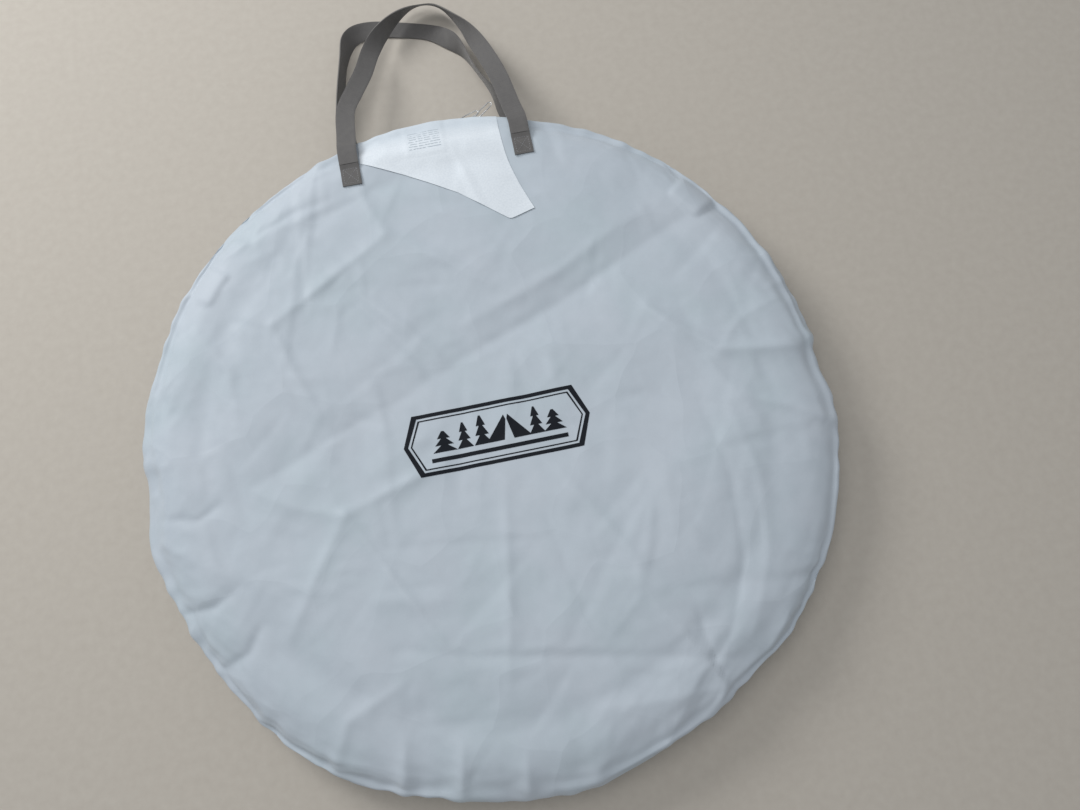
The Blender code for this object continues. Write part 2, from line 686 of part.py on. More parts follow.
def make_hoops():
    radius = RIM - HOOP_INSET
    points = HOOP_TURNS * TURN_POINTS
    names = ("spring_hoop_lower", "spring_hoop_upper")
    for name, height, start in zip(names, hoop_heights(), (0.0, 1.0)):
        path = []
        for k in range(points):
            turn = math.tau * HOOP_TURNS * k / points
            roll = start + turn / HOOP_TURNS
            distance = radius + HOOP_BUNDLE * math.cos(roll)
            path.append(round_bag(distance, turn, height + HOOP_BUNDLE * math.sin(roll)))
        wire(name, ROD, path, HOOP_ROD, closed=True)
        middle = path[0].lerp(path[1], 0.5)
        bore = HOOP_ROD / 2 + 2 * GAP
        sleeve = turned(
            name.replace("hoop", "hoop_ferrule"),
            STEEL,
            [(bore + FERRULE_WALL, FERRULE_LENGTH / 2), (bore + FERRULE_WALL, -FERRULE_LENGTH / 2)],
            FERRULE_WALL,
            steps=16,
        )
        sleeve.rotation_euler = (path[1] - path[0]).to_track_quat("Z", "Y").to_euler()
        sleeve.location = middle


def make_folded_cloth():
    """The shelter's cloth inside the coiled hoops: floor skirt, walls and roof, each folded flat."""
    names = ("folded_floor_skirt", "folded_walls", "folded_roof")
    low = STACK_BASE
    for name, share in zip(names, LAYER_SHARES):
        high = low + (STACK_TOP - STACK_BASE) * share - LAYER_GAP
        round_off = (high - low) * CLOTH_ROUNDING
        radius = RIM - (FLOOR_CLOTH_INSET if name == "folded_floor_skirt" else CLOTH_INSET)
        bm = bmesh.new()
        bmesh.ops.create_cone(
            bm,
            cap_ends=True,
            segments=SEGMENTS // 2,
            radius1=radius,
            radius2=radius,
            depth=high - low,
        )
        edges = [edge for edge in bm.edges if abs(edge.verts[0].co.z - edge.verts[1].co.z) < GAP]
        bmesh.ops.bevel(bm, geom=edges, offset=round_off, segments=2, profile=0.5, affect="EDGES")
        look = CANOPY_DARK if name == "folded_floor_skirt" else CANOPY
        from_bmesh(bm, name, look).location.z = (low + high) / 2
        low = high + LAYER_GAP


def make_bands():
    """Elastic bands that hold the coiled hoops together, one on each side."""
    radius = RIM - HOOP_INSET
    reach = BAND_REACH
    low = hoop_heights()[0] - reach
    high = hoop_heights()[1] + reach
    corner = reach * BAND_ROUNDING
    arcs = (
        (radius + reach - corner, high - corner, 0),
        (radius - reach + corner, high - corner, 1),
        (radius - reach + corner, low + corner, 2),
        (radius + reach - corner, low + corner, 3),
    )
    for name, angle in zip(("retaining_band_left", "retaining_band_right"), BAND_ANGLES):
        middles = []
        for x, z, quarter in arcs:
            for step in range(4):
                bend = math.radians(90 * quarter + 30 * step)
                middles.append(round_bag(x + corner * math.cos(bend), angle, z + corner * math.sin(bend)))
        middles.append(middles[0])
        across = round_bag(1, angle + math.pi / 2, 0)
        strip(name, ELASTIC, middles, [across] * len(middles), BAND_WIDTH, BAND_THICKNESS, closed=True)


def make_pegs():
    x, y = POUCH_PLACE
    width = PEG_COUNT * PEG_PITCH + 2 * POUCH_CLEARANCE
    bottom = STACK_TOP + 2 * GAP
    pouch = box(
        "peg_pouch",
        POUCH,
        (x, y, bottom + POUCH_HEIGHT / 2),
        (POUCH_LENGTH, width + 2 * POUCH_WALL, POUCH_HEIGHT),
    )
    bm = bmesh.new()
    bm.from_mesh(pouch.data)
    mouth = [face for face in bm.faces if face.normal.x > 0.9]
    bmesh.ops.delete(bm, geom=mouth, context="FACES_ONLY")
    bm.to_mesh(pouch.data)
    bm.free()
    solidify(pouch, POUCH_WALL)
    bend = PEG_HOOK + PEG_WIRE / 2
    deep = x - POUCH_LENGTH / 2 + POUCH_WALL + POUCH_CLEARANCE + PEG_WIRE
    level = bottom + POUCH_WALL + POUCH_CLEARANCE + PEG_WIRE / 2
    for number in range(PEG_COUNT):
        row = y + (number - (PEG_COUNT - 1) / 2) * PEG_PITCH - bend
        end = deep + PEG_LENGTH
        path = [Vector((deep + PEG_LENGTH * k / 2, row, level)) for k in range(3)]
        for step in range(1, 9):
            turn = math.radians(-90 + 22.5 * step)
            path.append(Vector((end + bend * math.cos(turn), row + bend + bend * math.sin(turn), level)))
        path.append(Vector((end - PEG_BARB, row + 2 * bend, level)))
        wire(f"ground_peg_{number + 1}", STEEL, path, PEG_WIRE)


def smooth_round_pieces():
    for obj in bpy.data.collections["packed_pop_up_blind"].objects:
        if obj.type == "MESH":
            obj.data.shade_smooth()
            obj.data.set_sharp_from_angle(angle=math.radians(35))


def build():
    empty_scene()
    make_panels()
    make_bindings()
    make_zip()
    make_slider("left", SLIDER_MEETING + SLIDER_SPACING / 2, LEFT_PULL)
    make_slider("right", SLIDER_MEETING - SLIDER_SPACING / 2, RIGHT_PULL)
    make_zip_tabs()
    make_handles()
    make_labels()
    make_hoops()
    make_folded_cloth()
    make_bands()
    make_pegs()
    flap = ("front_panel_flap", "flap_seam_binding", "zip_tape_flap", "zip_coil_flap")
    hang_on("flap_hinge", (0, HINGE_Y, HINGE_Z), flap + ("front_strap_end_left", "front_strap_end_right"))
    smooth_round_pieces()


build()
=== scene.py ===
# %% [markdown]
# # A pop-up shelter packed in its round bag
# The object is a thin, round zipped bag lying on the ground. Two round cloth panels are sewn
# together at the rim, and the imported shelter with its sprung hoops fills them.

import json
import math

import bpy
import numpy as np
from mathutils import Matrix, Vector
from mathutils.bvhtree import BVHTree


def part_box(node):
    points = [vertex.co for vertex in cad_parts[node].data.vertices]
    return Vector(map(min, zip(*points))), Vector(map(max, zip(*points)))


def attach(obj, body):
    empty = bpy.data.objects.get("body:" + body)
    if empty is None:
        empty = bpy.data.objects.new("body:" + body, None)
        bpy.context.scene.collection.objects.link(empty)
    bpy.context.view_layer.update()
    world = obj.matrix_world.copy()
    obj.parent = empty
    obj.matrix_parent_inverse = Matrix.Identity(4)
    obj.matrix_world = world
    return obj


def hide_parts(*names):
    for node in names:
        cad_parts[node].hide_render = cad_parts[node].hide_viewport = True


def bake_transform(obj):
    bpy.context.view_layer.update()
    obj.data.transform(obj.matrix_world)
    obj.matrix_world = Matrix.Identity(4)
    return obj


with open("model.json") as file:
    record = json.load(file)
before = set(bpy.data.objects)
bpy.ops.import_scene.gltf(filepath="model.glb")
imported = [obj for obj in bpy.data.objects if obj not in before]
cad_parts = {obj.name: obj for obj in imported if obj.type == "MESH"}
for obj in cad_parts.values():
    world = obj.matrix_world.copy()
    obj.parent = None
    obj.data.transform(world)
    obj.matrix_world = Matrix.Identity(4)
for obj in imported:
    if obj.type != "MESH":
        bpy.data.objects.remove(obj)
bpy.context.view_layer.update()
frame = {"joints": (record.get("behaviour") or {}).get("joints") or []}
MM = 0.001
joints = {joint["name"]: joint for joint in frame["joints"]}
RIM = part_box("back_panel")[1].x
CROWN_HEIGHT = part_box("front_panel_fixed")[1].z
SEAM_HEIGHT = joints["zip_slider_left"]["pos_m"][2]
FLAP_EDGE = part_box("front_panel_flap")[0].z
MOUTH_EDGE = 2 * SEAM_HEIGHT - FLAP_EDGE
FOLD_Y = joints["front_flap_open"]["pos_m"][1]
print("bag radius", round(RIM, 4), "crown", round(CROWN_HEIGHT, 4), "seam", round(SEAM_HEIGHT, 4))

# %% [markdown]
# ## Small helpers
# New pieces are made with operators on a selection, so everything is deselected first. A finished
# piece has its place in its vertices, which numpy reads and writes as one array.


# %% Helpers for meshes
def start_fresh():
    """Leave edit mode and select nothing."""
    if bpy.context.object and bpy.context.object.mode != "OBJECT":
        bpy.ops.object.mode_set(mode="OBJECT")
    bpy.ops.object.select_all(action="DESELECT")


def take(obj):
    """Make this the one selected and active object."""
    start_fresh()
    obj.select_set(True)
    bpy.context.view_layer.objects.active = obj
    return obj


def new_grid(name, columns, rows):
    """A flat grid of faces, 2 m wide, ready to be bent into a piece."""
    start_fresh()
    bpy.ops.mesh.primitive_grid_add(x_subdivisions=columns, y_subdivisions=rows, size=2, calc_uvs=True)
    obj = bpy.context.object
    obj.name = name
    return obj


def points_of(obj):
    flat = np.empty(len(obj.data.vertices) * 3)
    obj.data.vertices.foreach_get("co", flat)
    return flat.reshape(-1, 3)


def set_points(obj, points):
    obj.data.vertices.foreach_set("co", np.ascontiguousarray(points, dtype=np.float32).ravel())
    obj.data.update()


def lay_uv(obj, flat):
    """Give each corner its vertex's flat place, in metres, so that a weave follows the cloth."""
    uv = obj.data.uv_layers.active or obj.data.uv_layers.new(name="cloth")
    corners = np.empty(len(obj.data.loops), dtype=np.int32)
    obj.data.loops.foreach_get("vertex_index", corners)
    uv.data.foreach_set("uv", np.ascontiguousarray(flat[corners], dtype=np.float32).ravel())


def add_modifier(obj, kind, **settings):
    take(obj)
    step = obj.modifiers.new(kind.title(), kind)
    for key, value in settings.items():
        setattr(step, key, value)
    bpy.ops.object.modifier_apply(modifier=step.name)
    return obj


def soften(obj, levels=1):
    return add_modifier(obj, "SUBSURF", levels=levels, render_levels=levels)


def thicken(obj, thickness, offset=-1.0):
    return add_modifier(obj, "SOLIDIFY", thickness=thickness, offset=offset, use_even_offset=False)


def smooth(obj, angle=40.0):
    take(obj)
    bpy.ops.object.shade_smooth_by_angle(angle=math.radians(angle))
    return obj


def mend(obj, merge=0.0, outward=False, flip=False):
    """Work on the whole mesh: close its seams, turn its normals outward, or flip them."""
    take(obj)
    bpy.ops.object.mode_set(mode="EDIT")
    bpy.ops.mesh.select_all(action="SELECT")
    if merge:
        bpy.ops.mesh.remove_doubles(threshold=merge)
    if outward:
        bpy.ops.mesh.normals_make_consistent(inside=False)
    if flip:
        bpy.ops.mesh.flip_normals()
    bpy.ops.object.mode_set(mode="OBJECT")
    return obj


def in_circle(obj):
    """A square grid's points squeezed into a circle, as x and y."""
    square = points_of(obj)[:, :2]
    x = square[:, 0] * np.sqrt(1 - square[:, 1] ** 2 / 2)
    y = square[:, 1] * np.sqrt(1 - square[:, 0] ** 2 / 2)
    return x, y


def join(objects, name):
    """Join pieces into the first one."""
    start_fresh()
    for obj in objects:
        obj.select_set(True)
    bpy.context.view_layer.objects.active = objects[0]
    if len(objects) > 1:
        bpy.ops.object.join()
    whole = bpy.context.object
    whole.name = name
    bpy.ops.object.transform_apply(location=True, rotation=True, scale=True)
    return whole


def smoothstep(low, high, value):
    share = np.clip((value - low) / (high - low), 0.0, 1.0)
    return share * share * (3 - 2 * share)


# %% [markdown]
# ## Materials from nodes
# Colours are written as sRGB hex values and turned linear by one function. Every pattern is laid
# out in real millimetres, either over the piece's own flat cloth map or in object space.


# %% Helpers for materials
def colour(code):
    """Linear RGBA from an sRGB hex code."""
    parts = [int(code[i : i + 2], 16) / 255 for i in (1, 3, 5)]
    return (*[c / 12.92 if c <= 0.04045 else ((c + 0.055) / 1.055) ** 2.4 for c in parts], 1.0)


def node(tree, kind, settings=None, **links):
    """Add one node. Settings name attributes or sockets; links name sockets, _ standing for a space."""
    made = tree.nodes.new("ShaderNode" + kind)
    for key, value in (settings or {}).items():
        if isinstance(key, int) or key in made.inputs:
            made.inputs[key].default_value = value
        else:
            setattr(made, key, value)
    for key, source in links.items():
        label = key.replace("_", " ")
        socket = made.inputs[int(key[1:])] if key[1:].isdigit() else made.inputs[label]
        tree.links.new(source, socket)
    return made


def two_tones(tree, source, low, high, start=0.0, end=1.0):
    """A colour that runs from low to high as its source does."""
    tone = node(tree, "ValToRGB", Fac=source)
    for element, code, position in zip(tone.color_ramp.elements, (low, high), (start, end)):
        element.position = position
        element.color = colour(code)
    return tone


def start_material(name, roughness, metallic=0.0, **sockets):
    made = bpy.data.materials.new(name)
    made.use_nodes = True
    shader = made.node_tree.nodes["Principled BSDF"]
    shader.inputs["Roughness"].default_value = roughness
    shader.inputs["Metallic"].default_value = metallic
    for label, value in sockets.items():
        shader.inputs[label.replace("_", " ")].default_value = value
    return made, made.node_tree, shader


def dress(obj, material):
    obj.data.materials.clear()
    obj.data.materials.append(material)
    return obj


def paint(tree, shader, socket, source):
    tree.links.new(source, shader.inputs[socket])


# %% [markdown]
# ## Camera, light and floor
# The bag is seen from almost straight above. The camera looks down at about 13 degrees off the
# vertical, with the bag turned a little to the left. Soft light comes from the upper left.

# %% Camera
LENS = 27.03
CAMERA_PLACE = Vector((0.0228, -0.2012, 1.0328))
OFF_VERTICAL = math.radians(12.7)
BAG_TURN = math.radians(11.5)
ahead = Vector((math.sin(BAG_TURN), math.cos(BAG_TURN), 0))
right = Vector((math.cos(BAG_TURN), -math.sin(BAG_TURN), 0))
looking = ahead * math.sin(OFF_VERTICAL) - Vector((0, 0, math.cos(OFF_VERTICAL)))
upwards = right.cross(looking)
start_fresh()
bpy.ops.object.camera_add(location=CAMERA_PLACE)
camera = bpy.context.object
camera.name = "camera"
facing = Matrix((right, upwards, -looking)).transposed().to_4x4()
camera.matrix_world = Matrix.Translation(CAMERA_PLACE) @ facing
camera.data.lens = LENS
camera.data.sensor_width = 36.0
bpy.context.scene.camera = camera
bpy.context.scene.view_settings.view_transform = "Standard"
print("camera at", [round(v, 3) for v in camera.location])


# %% Lights
def soft_light(name, place, aim, size, power):
    start_fresh()
    bpy.ops.object.light_add(type="AREA", location=place)
    lamp = bpy.context.object
    lamp.name = name
    lamp.data.shape = "DISK"
    lamp.data.size = size
    lamp.data.energy = power
    lamp.rotation_euler = (Vector(aim) - Vector(place)).to_track_quat("-Z", "Y").to_euler()
    return lamp


KEY_SIDE = -1.9 * right + 1.5 * ahead
soft_light("key_light", KEY_SIDE + Vector((0, 0, 1.55)), (0, 0, 0), 1.2, 42)
soft_light("overhead_light", 0.3 * KEY_SIDE + Vector((0, 0, 3.0)), (0, 0, 0), 2.2, 27)
world = bpy.data.worlds.new("pale_sky")
world.use_nodes = True
world.node_tree.nodes["Background"].inputs["Color"].default_value = colour("#F1F4F8")
world.node_tree.nodes["Background"].inputs["Strength"].default_value = 0.38
bpy.context.scene.world = world

# %% Floor
start_fresh()
bpy.ops.mesh.primitive_plane_add(size=14, location=(0, 0, 0))
floor = bpy.context.object
floor.name = "pale_floor"
material, tree, shader = start_material("pale matt floor paint", 0.85)
grain = node(
    tree, "TexNoise", {"Scale": 90.0, "Detail": 4.0}, Vector=node(tree, "TexCoord").outputs["Object"]
)
tint = two_tones(tree, grain.outputs["Fac"], "#B4ADA3", "#C0BAB0")
paint(tree, shader, "Base Color", tint.outputs["Color"])
dress(floor, material)

# %% [markdown]
# ## The bag's cloth
# The panels are coated polyester, a smooth woven cloth with a faint sheen. A flat circle of cloth
# is bent over the bag's side profile by its length along the cloth, so that the weave stays even.
# A square grid squeezed into a circle keeps the faces nearly square from the centre to the rim.

# %% The bag's side profile
CROWN_INSET = 50 * MM
CENTRE_DIP = 13 * MM
FLOOR_INSET = 60 * MM
CLOTH_THICKNESS = 0.4 * MM
CROWN_RADIUS = RIM - CROWN_INSET
FLAT_RADIUS = RIM - FLOOR_INSET


def front_line(end_height, count=400):
    """Radius and height along the front panel, from the centre to its edge."""
    inner = np.linspace(0, CROWN_RADIUS, count)
    dip = CROWN_HEIGHT - CENTRE_DIP * (1 - (inner / CROWN_RADIUS) ** 2) ** 2
    end = math.acos((end_height - SEAM_HEIGHT) / (CROWN_HEIGHT - SEAM_HEIGHT))
    turn = np.linspace(0, end, count)[1:]
    outer = CROWN_RADIUS + CROWN_INSET * np.sin(turn)
    fall = SEAM_HEIGHT + (CROWN_HEIGHT - SEAM_HEIGHT) * np.cos(turn)
    return np.concatenate((inner, outer)), np.concatenate((dip, fall))


def back_line(end_height, count=400):
    inner = np.linspace(0, FLAT_RADIUS, count)
    end = math.acos(1 - end_height / SEAM_HEIGHT) if end_height < SEAM_HEIGHT else math.pi / 2
    turn = np.linspace(0, end, count)[1:]
    outer = FLAT_RADIUS + FLOOR_INSET * np.sin(turn)
    rise = SEAM_HEIGHT * (1 - np.cos(turn))
    return np.concatenate((inner, outer)), np.concatenate((0 * inner, rise))


def along(line, share):
    """Radius, height and normal at a share of the line's length."""
    radius, height = line
    length = np.concatenate(([0], np.cumsum(np.hypot(np.diff(radius), np.diff(height)))))
    spot = share * length[-1]
    r = np.interp(spot, length, radius)
    z = np.interp(spot, length, height)
    lean_r = np.interp(spot, length, np.gradient(radius, length))
    lean_z = np.interp(spot, length, np.gradient(height, length))
    return r, z, -lean_z, lean_r, spot


ZIP_ANGLE = math.asin(FOLD_Y / RIM)


def zip_share(angle):
    """1 round the far rim, where the zip parts the panels, and 0 round the near rim."""
    past = np.minimum(angle - ZIP_ANGLE, math.pi - ZIP_ANGLE - angle)
    return smoothstep(-math.radians(3.0), math.radians(1.5), past)


def round_sheet(name, cells, near_line, far_line, out=1.0):
    """A circle of cloth bent over a profile. Returns it with its normals and flat map."""
    obj = new_grid(name, cells, cells)
    x, y = in_circle(obj)
    share = np.hypot(x, y)
    angle = np.arctan2(y, x)
    near = along(near_line, share)
    far = along(far_line, share)
    mix = zip_share(angle)
    r, z, lean_r, lean_z, spot = [a * (1 - mix) + b * mix for a, b in zip(near, far)]
    ring = np.column_stack((np.cos(angle), np.sin(angle)))
    place = np.column_stack((ring * r[:, None], z))
    square_to = np.column_stack((ring * lean_r[:, None], lean_z)) * out
    flat = ring * spot[:, None]
    return obj, place, square_to, flat, share


# %% [markdown]
# The cloth keeps folds from storage: shallow valleys, sharp little ridges and stars where two folds
# meet. Each fold is a short line with a height and a width, and its crest is sharp like a crease.

# %% Folds kept in the cloth
# Each fold is its stations in metres, then its height and half width in millimetres.
FOLDS = (
    (((0.320, 0.228), (0.210, 0.180), (0.117, 0.138), (0.008, 0.100), (-0.099, 0.057)), -5.0, 26),
    (((-0.099, 0.057), (-0.200, 0.018), (-0.292, -0.022)), -3.0, 20),
    (((0.250, 0.240), (0.110, 0.172), (0.000, 0.135)), 2.2, 14),
    (((-0.083, 0.268), (-0.160, 0.222), (-0.239, 0.177)), 2.6, 9),
    (((-0.239, 0.177), (-0.222, 0.110), (-0.198, 0.046)), 2.0, 9),
    (((-0.083, 0.268), (-0.010, 0.215), (0.052, 0.165)), 2.0, 10),
    (((-0.083, 0.268), (-0.105, 0.330), (-0.112, 0.350)), 1.6, 8),
    (((-0.160, 0.222), (-0.105, 0.150), (-0.060, 0.085)), -1.8, 8),
    (((-0.128, 0.195), (-0.075, 0.140), (-0.040, 0.090)), 1.6, 7),
    (((0.225, 0.103), (0.297, 0.035), (0.396, 0.021)), 3.2, 9),
    (((0.215, 0.118), (0.275, 0.030), (0.323, -0.060)), 2.4, 9),
    (((0.297, 0.035), (0.330, 0.070), (0.380, 0.085)), 1.8, 8),
    (((0.313, -0.027), (0.360, -0.050), (0.408, -0.078)), 2.4, 8),
    (((-0.186, -0.073), (-0.130, -0.055), (-0.066, -0.037)), 2.4, 9),
    (((-0.186, -0.073), (-0.230, -0.140), (-0.268, -0.201)), 2.4, 9),
    (((-0.186, -0.073), (-0.130, -0.180), (-0.075, -0.285)), 2.8, 10),
    (((-0.292, -0.022), (-0.240, -0.055), (-0.186, -0.073)), 1.8, 9),
    (((0.007, -0.070), (-0.012, -0.190), (-0.033, -0.304)), 2.6, 12),
    (((-0.147, -0.237), (-0.060, -0.262), (0.030, -0.279), (0.130, -0.300), (0.229, -0.325)), -2.6, 12),
    (((0.043, -0.102), (0.060, -0.190), (0.078, -0.272)), -1.8, 14),
    (((0.074, -0.072), (0.143, -0.194), (0.133, -0.238)), 1.8, 12),
    (((0.258, -0.022), (0.272, -0.110), (0.263, -0.218), (0.225, -0.300), (0.182, -0.348)), -2.2, 9),
    (((0.290, -0.030), (0.305, -0.120), (0.292, -0.215), (0.250, -0.300)), 1.6, 8),
    (((0.215, -0.355), (0.179, -0.292), (0.150, -0.250)), 2.4, 7),
    (((0.215, -0.355), (0.200, -0.300), (0.196, -0.262)), -2.0, 6),
    (((0.215, -0.355), (0.265, -0.321), (0.300, -0.280)), 2.2, 7),
    (((0.215, -0.355), (0.164, -0.398)), 2.2, 8),
    (((0.215, -0.355), (0.130, -0.352), (0.060, -0.345)), 1.8, 9),
    (((0.215, -0.355), (0.235, -0.372)), -2.4, 7),
    (((-0.400, -0.150), (-0.352, -0.150), (-0.320, -0.132)), -3.4, 8),
    (((-0.352, -0.220), (-0.318, -0.208), (-0.300, -0.180)), -3.4, 8),
    (((-0.400, -0.036), (-0.355, -0.045), (-0.329, -0.032)), -2.6, 8),
    (((-0.171, -0.400), (-0.157, -0.333)), 3.0, 9),
    (((-0.108, -0.412), (-0.097, -0.356)), 3.0, 9),
    (((-0.033, -0.421), (-0.029, -0.375)), 2.6, 9),
    (((-0.240, -0.350), (-0.215, -0.300), (-0.150, -0.275)), 2.2, 9),
    (((-0.253, 0.296), (-0.200, 0.318), (-0.145, 0.330)), -2.2, 8),
    (((-0.330, 0.180), (-0.300, 0.130), (-0.296, 0.060)), 1.8, 10),
    (((-0.350, 0.090), (-0.310, 0.020), (-0.300, -0.060)), -1.6, 12),
)


def near_line_of(x, y, stations):
    """Distance from each point to a chain of stations, and the share along it of the nearest spot."""
    best = np.full(len(x), 1e9)
    where = np.zeros(len(x))
    for number, (a, b) in enumerate(zip(stations, stations[1:])):
        ax, ay = a
        bx, by = b
        run = np.array((bx - ax, by - ay))
        t = np.clip(((x - ax) * run[0] + (y - ay) * run[1]) / (run @ run), 0, 1)
        gap = np.hypot(x - ax - t * run[0], y - ay - t * run[1])
        closer = gap < best
        best = np.where(closer, gap, best)
        where = np.where(closer, (number + t) / (len(stations) - 1), where)
    return best, where


def folds_at(x, y, sharpness=1.0):
    """Height of all the folds, in metres."""
    total = np.zeros(len(x))
    for stations, height, width in FOLDS:
        gap, where = near_line_of(x, y, stations)
        fade = np.sin(math.pi * np.clip(0.12 + 0.76 * where, 0, 1)) ** 0.7
        reach = gap / (width * MM)
        crest = np.exp(-(np.sqrt(reach**2 + 0.09 / sharpness) - 0.3))
        total += height * MM * crest * fade
    return total


def ripples(x, y, seed, longest, shortest, count=22):
    """Gentle unevenness: waves in many directions with a set random seed, from -1 to 1."""
    draw = np.random.default_rng(seed)
    total = np.zeros(len(x))
    for number in range(count):
        length = longest * (shortest / longest) ** (number / (count - 1))
        heading = draw.uniform(0, math.pi)
        bend = 0.35 * length * np.sin(
            (x * math.sin(heading) - y * math.cos(heading)) * math.tau / (2.3 * length)
        )
        phase = draw.uniform(0, math.tau)
        total += np.sin(
            (x * math.cos(heading) + y * math.sin(heading) + bend) * math.tau / length + phase
        ) * length
    return total / np.abs(total).max()


def crumple(x, y, seed, count, longest, width, area=0.42):
    """Many short creases left by folding: each is a tent with a sharp crest, random but seeded."""
    draw = np.random.default_rng(seed)
    total = np.zeros(len(x))
    for _ in range(count):
        heading = draw.uniform(0, math.pi)
        middle = draw.uniform(-area, area, 2)
        half = draw.uniform(0.4, 1.0) * longest / 2
        height = draw.choice((-1.0, 1.0)) * draw.uniform(0.4, 1.0)
        run = (x - middle[0]) * math.cos(heading) + (y - middle[1]) * math.sin(heading)
        gap = (y - middle[1]) * math.cos(heading) - (x - middle[0]) * math.sin(heading)
        steep = np.where(gap > 0, width, width * draw.uniform(0.35, 0.9))
        tent = np.clip(1 - np.abs(gap) / (steep * (1 - 0.6 * np.clip(np.abs(run) / half, 0, 1))), 0, 1)
        total += height * tent * np.clip(1 - (run / half) ** 2, 0, 1)
    return total


def puckers(angle, pitch_angle, seed):
    """Gathers along a seam: uneven waves round the rim, from -1 to 1."""
    draw = np.random.default_rng(seed)
    total = np.zeros(len(angle))
    for number in range(9):
        waves = round(math.tau / pitch_angle * (0.6 + 0.1 * number))
        total += np.sin(waves * angle + draw.uniform(0, math.tau))
    return total / 4.0


# %% [markdown]
# ### Letting the cloth settle
# The front cloth is cut a little too large for the pack, which is what makes it wrinkle. A cloth
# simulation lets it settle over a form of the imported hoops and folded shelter. Its seam is pinned,
# and how far a point may move is capped, so the bag keeps its size.

# %% Front cloth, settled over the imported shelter
FRONT_CELLS = 108
FORM_CELLS = 72
STRAP_END = (0.113, 0.366)
NEAR_SAG = 5.5 * MM
# Where the two elastic bands cross the hoops, in degrees round the rim.
BAND_ANGLES = {"left": 142.0, "right": 38.0}


def away_from_straps(x, y):
    """Small where the strap ends hold the cloth flat, 1 elsewhere."""
    end_x, end_y = STRAP_END
    near = np.minimum(np.hypot(x - end_x, y - end_y), np.hypot(x + end_x, y - end_y))
    return 0.12 + 0.88 * smoothstep(0.014, 0.048, near)


# Round the near rim, how far the pack pushes its cloth out or draws it in: degrees and millimetres.
LOBES = (
    (177.0, -6), (180, -9), (184, -4), (188.5, 3), (198.5, -3), (210.5, -4), (222.5, 2), (228.5, 6),
    (240.5, 4), (252.5, -1), (258.5, -2), (268, 0), (276.5, 4), (288.5, -3), (294.5, -5.5), (306.5, -3),
    (312.5, 4), (324.5, 6), (333, 6.5), (342.5, 6), (348.5, 6), (354, 3), (358, -5), (361, -8), (363, -6),
)


def lobed(points):
    """Push points near the rim out or in, but leave the zip's true arc as it is."""
    radius = np.hypot(points[:, 0], points[:, 1])
    degrees = np.degrees(np.arctan2(points[:, 1], points[:, 0])) % 360
    degrees = np.where(degrees < 90, degrees + 360, degrees)
    at, out = np.array(LOBES).T
    shift = sum(np.interp(degrees + d, at, out) for d in (-2, -1, 0, 1, 2)) / 5 * MM
    free = smoothstep(174.6, 177.6, degrees) * smoothstep(365.4, 362.4, degrees)
    grow = shift * free * smoothstep(0.32, 0.42, radius) / np.maximum(radius, 0.1)
    return points * np.column_stack((1 + grow, 1 + grow, 1 + 0 * grow))


SPARE_CLOTH = 0.012
FORM_CLEARANCE = 4.0 * MM
MOST_MOVE = 7.0 * MM
near_front = front_line(SEAM_HEIGHT + 0.3 * MM)
far_front = front_line(FLAP_EDGE)
front, place, square_to, flat, share = round_sheet("bag_front_cloth", FRONT_CELLS, near_front, far_front)
seam_fade = smoothstep(1.0, 0.93, share)
raised = folds_at(place[:, 0], place[:, 1]) * (0.25 + 0.75 * seam_fade)
raised += crumple(flat[:, 0], flat[:, 1], 20, 34, 0.34, 0.055) * 2.8 * MM
raised *= away_from_straps(place[:, 0], place[:, 1])
place = place + square_to * (raised * smoothstep(1.0, 0.97, share))[:, None]
set_points(front, place)


def settle(cloth, pinned, form, frames=24):
    """Run Blender's cloth on a sheet with pinned points and return where its points went."""
    group = cloth.vertex_groups.new(name="pinned")
    group.add([int(i) for i in np.nonzero(pinned)[0]], 1.0, "REPLACE")
    bump = form.modifiers.new("Collision", "COLLISION")
    form.collision.thickness_outer = 1.0 * MM
    form.collision.cloth_friction = 8.0
    sim = cloth.modifiers.new("Cloth", "CLOTH")
    sim.settings.quality = 6
    sim.settings.mass = 0.12
    sim.settings.tension_stiffness = 20
    sim.settings.compression_stiffness = 20
    sim.settings.shear_stiffness = 8
    sim.settings.bending_stiffness = 0.6
    sim.settings.air_damping = 3.0
    sim.settings.shrink_min = -SPARE_CLOTH
    sim.settings.vertex_group_mass = "pinned"
    sim.collision_settings.distance_min = 1.0 * MM
    sim.collision_settings.use_self_collision = False
    sim.point_cache.frame_start = 1
    sim.point_cache.frame_end = frames
    for step in range(1, frames + 1):
        bpy.context.scene.frame_set(step)
    settled = cloth.evaluated_get(bpy.context.evaluated_depsgraph_get()).data
    moved = np.empty(len(settled.vertices) * 3)
    settled.vertices.foreach_get("co", moved)
    cloth.modifiers.remove(sim)
    form.modifiers.remove(bump)
    cloth.vertex_groups.clear()
    bpy.context.scene.frame_set(1)
    return moved.reshape(-1, 3)


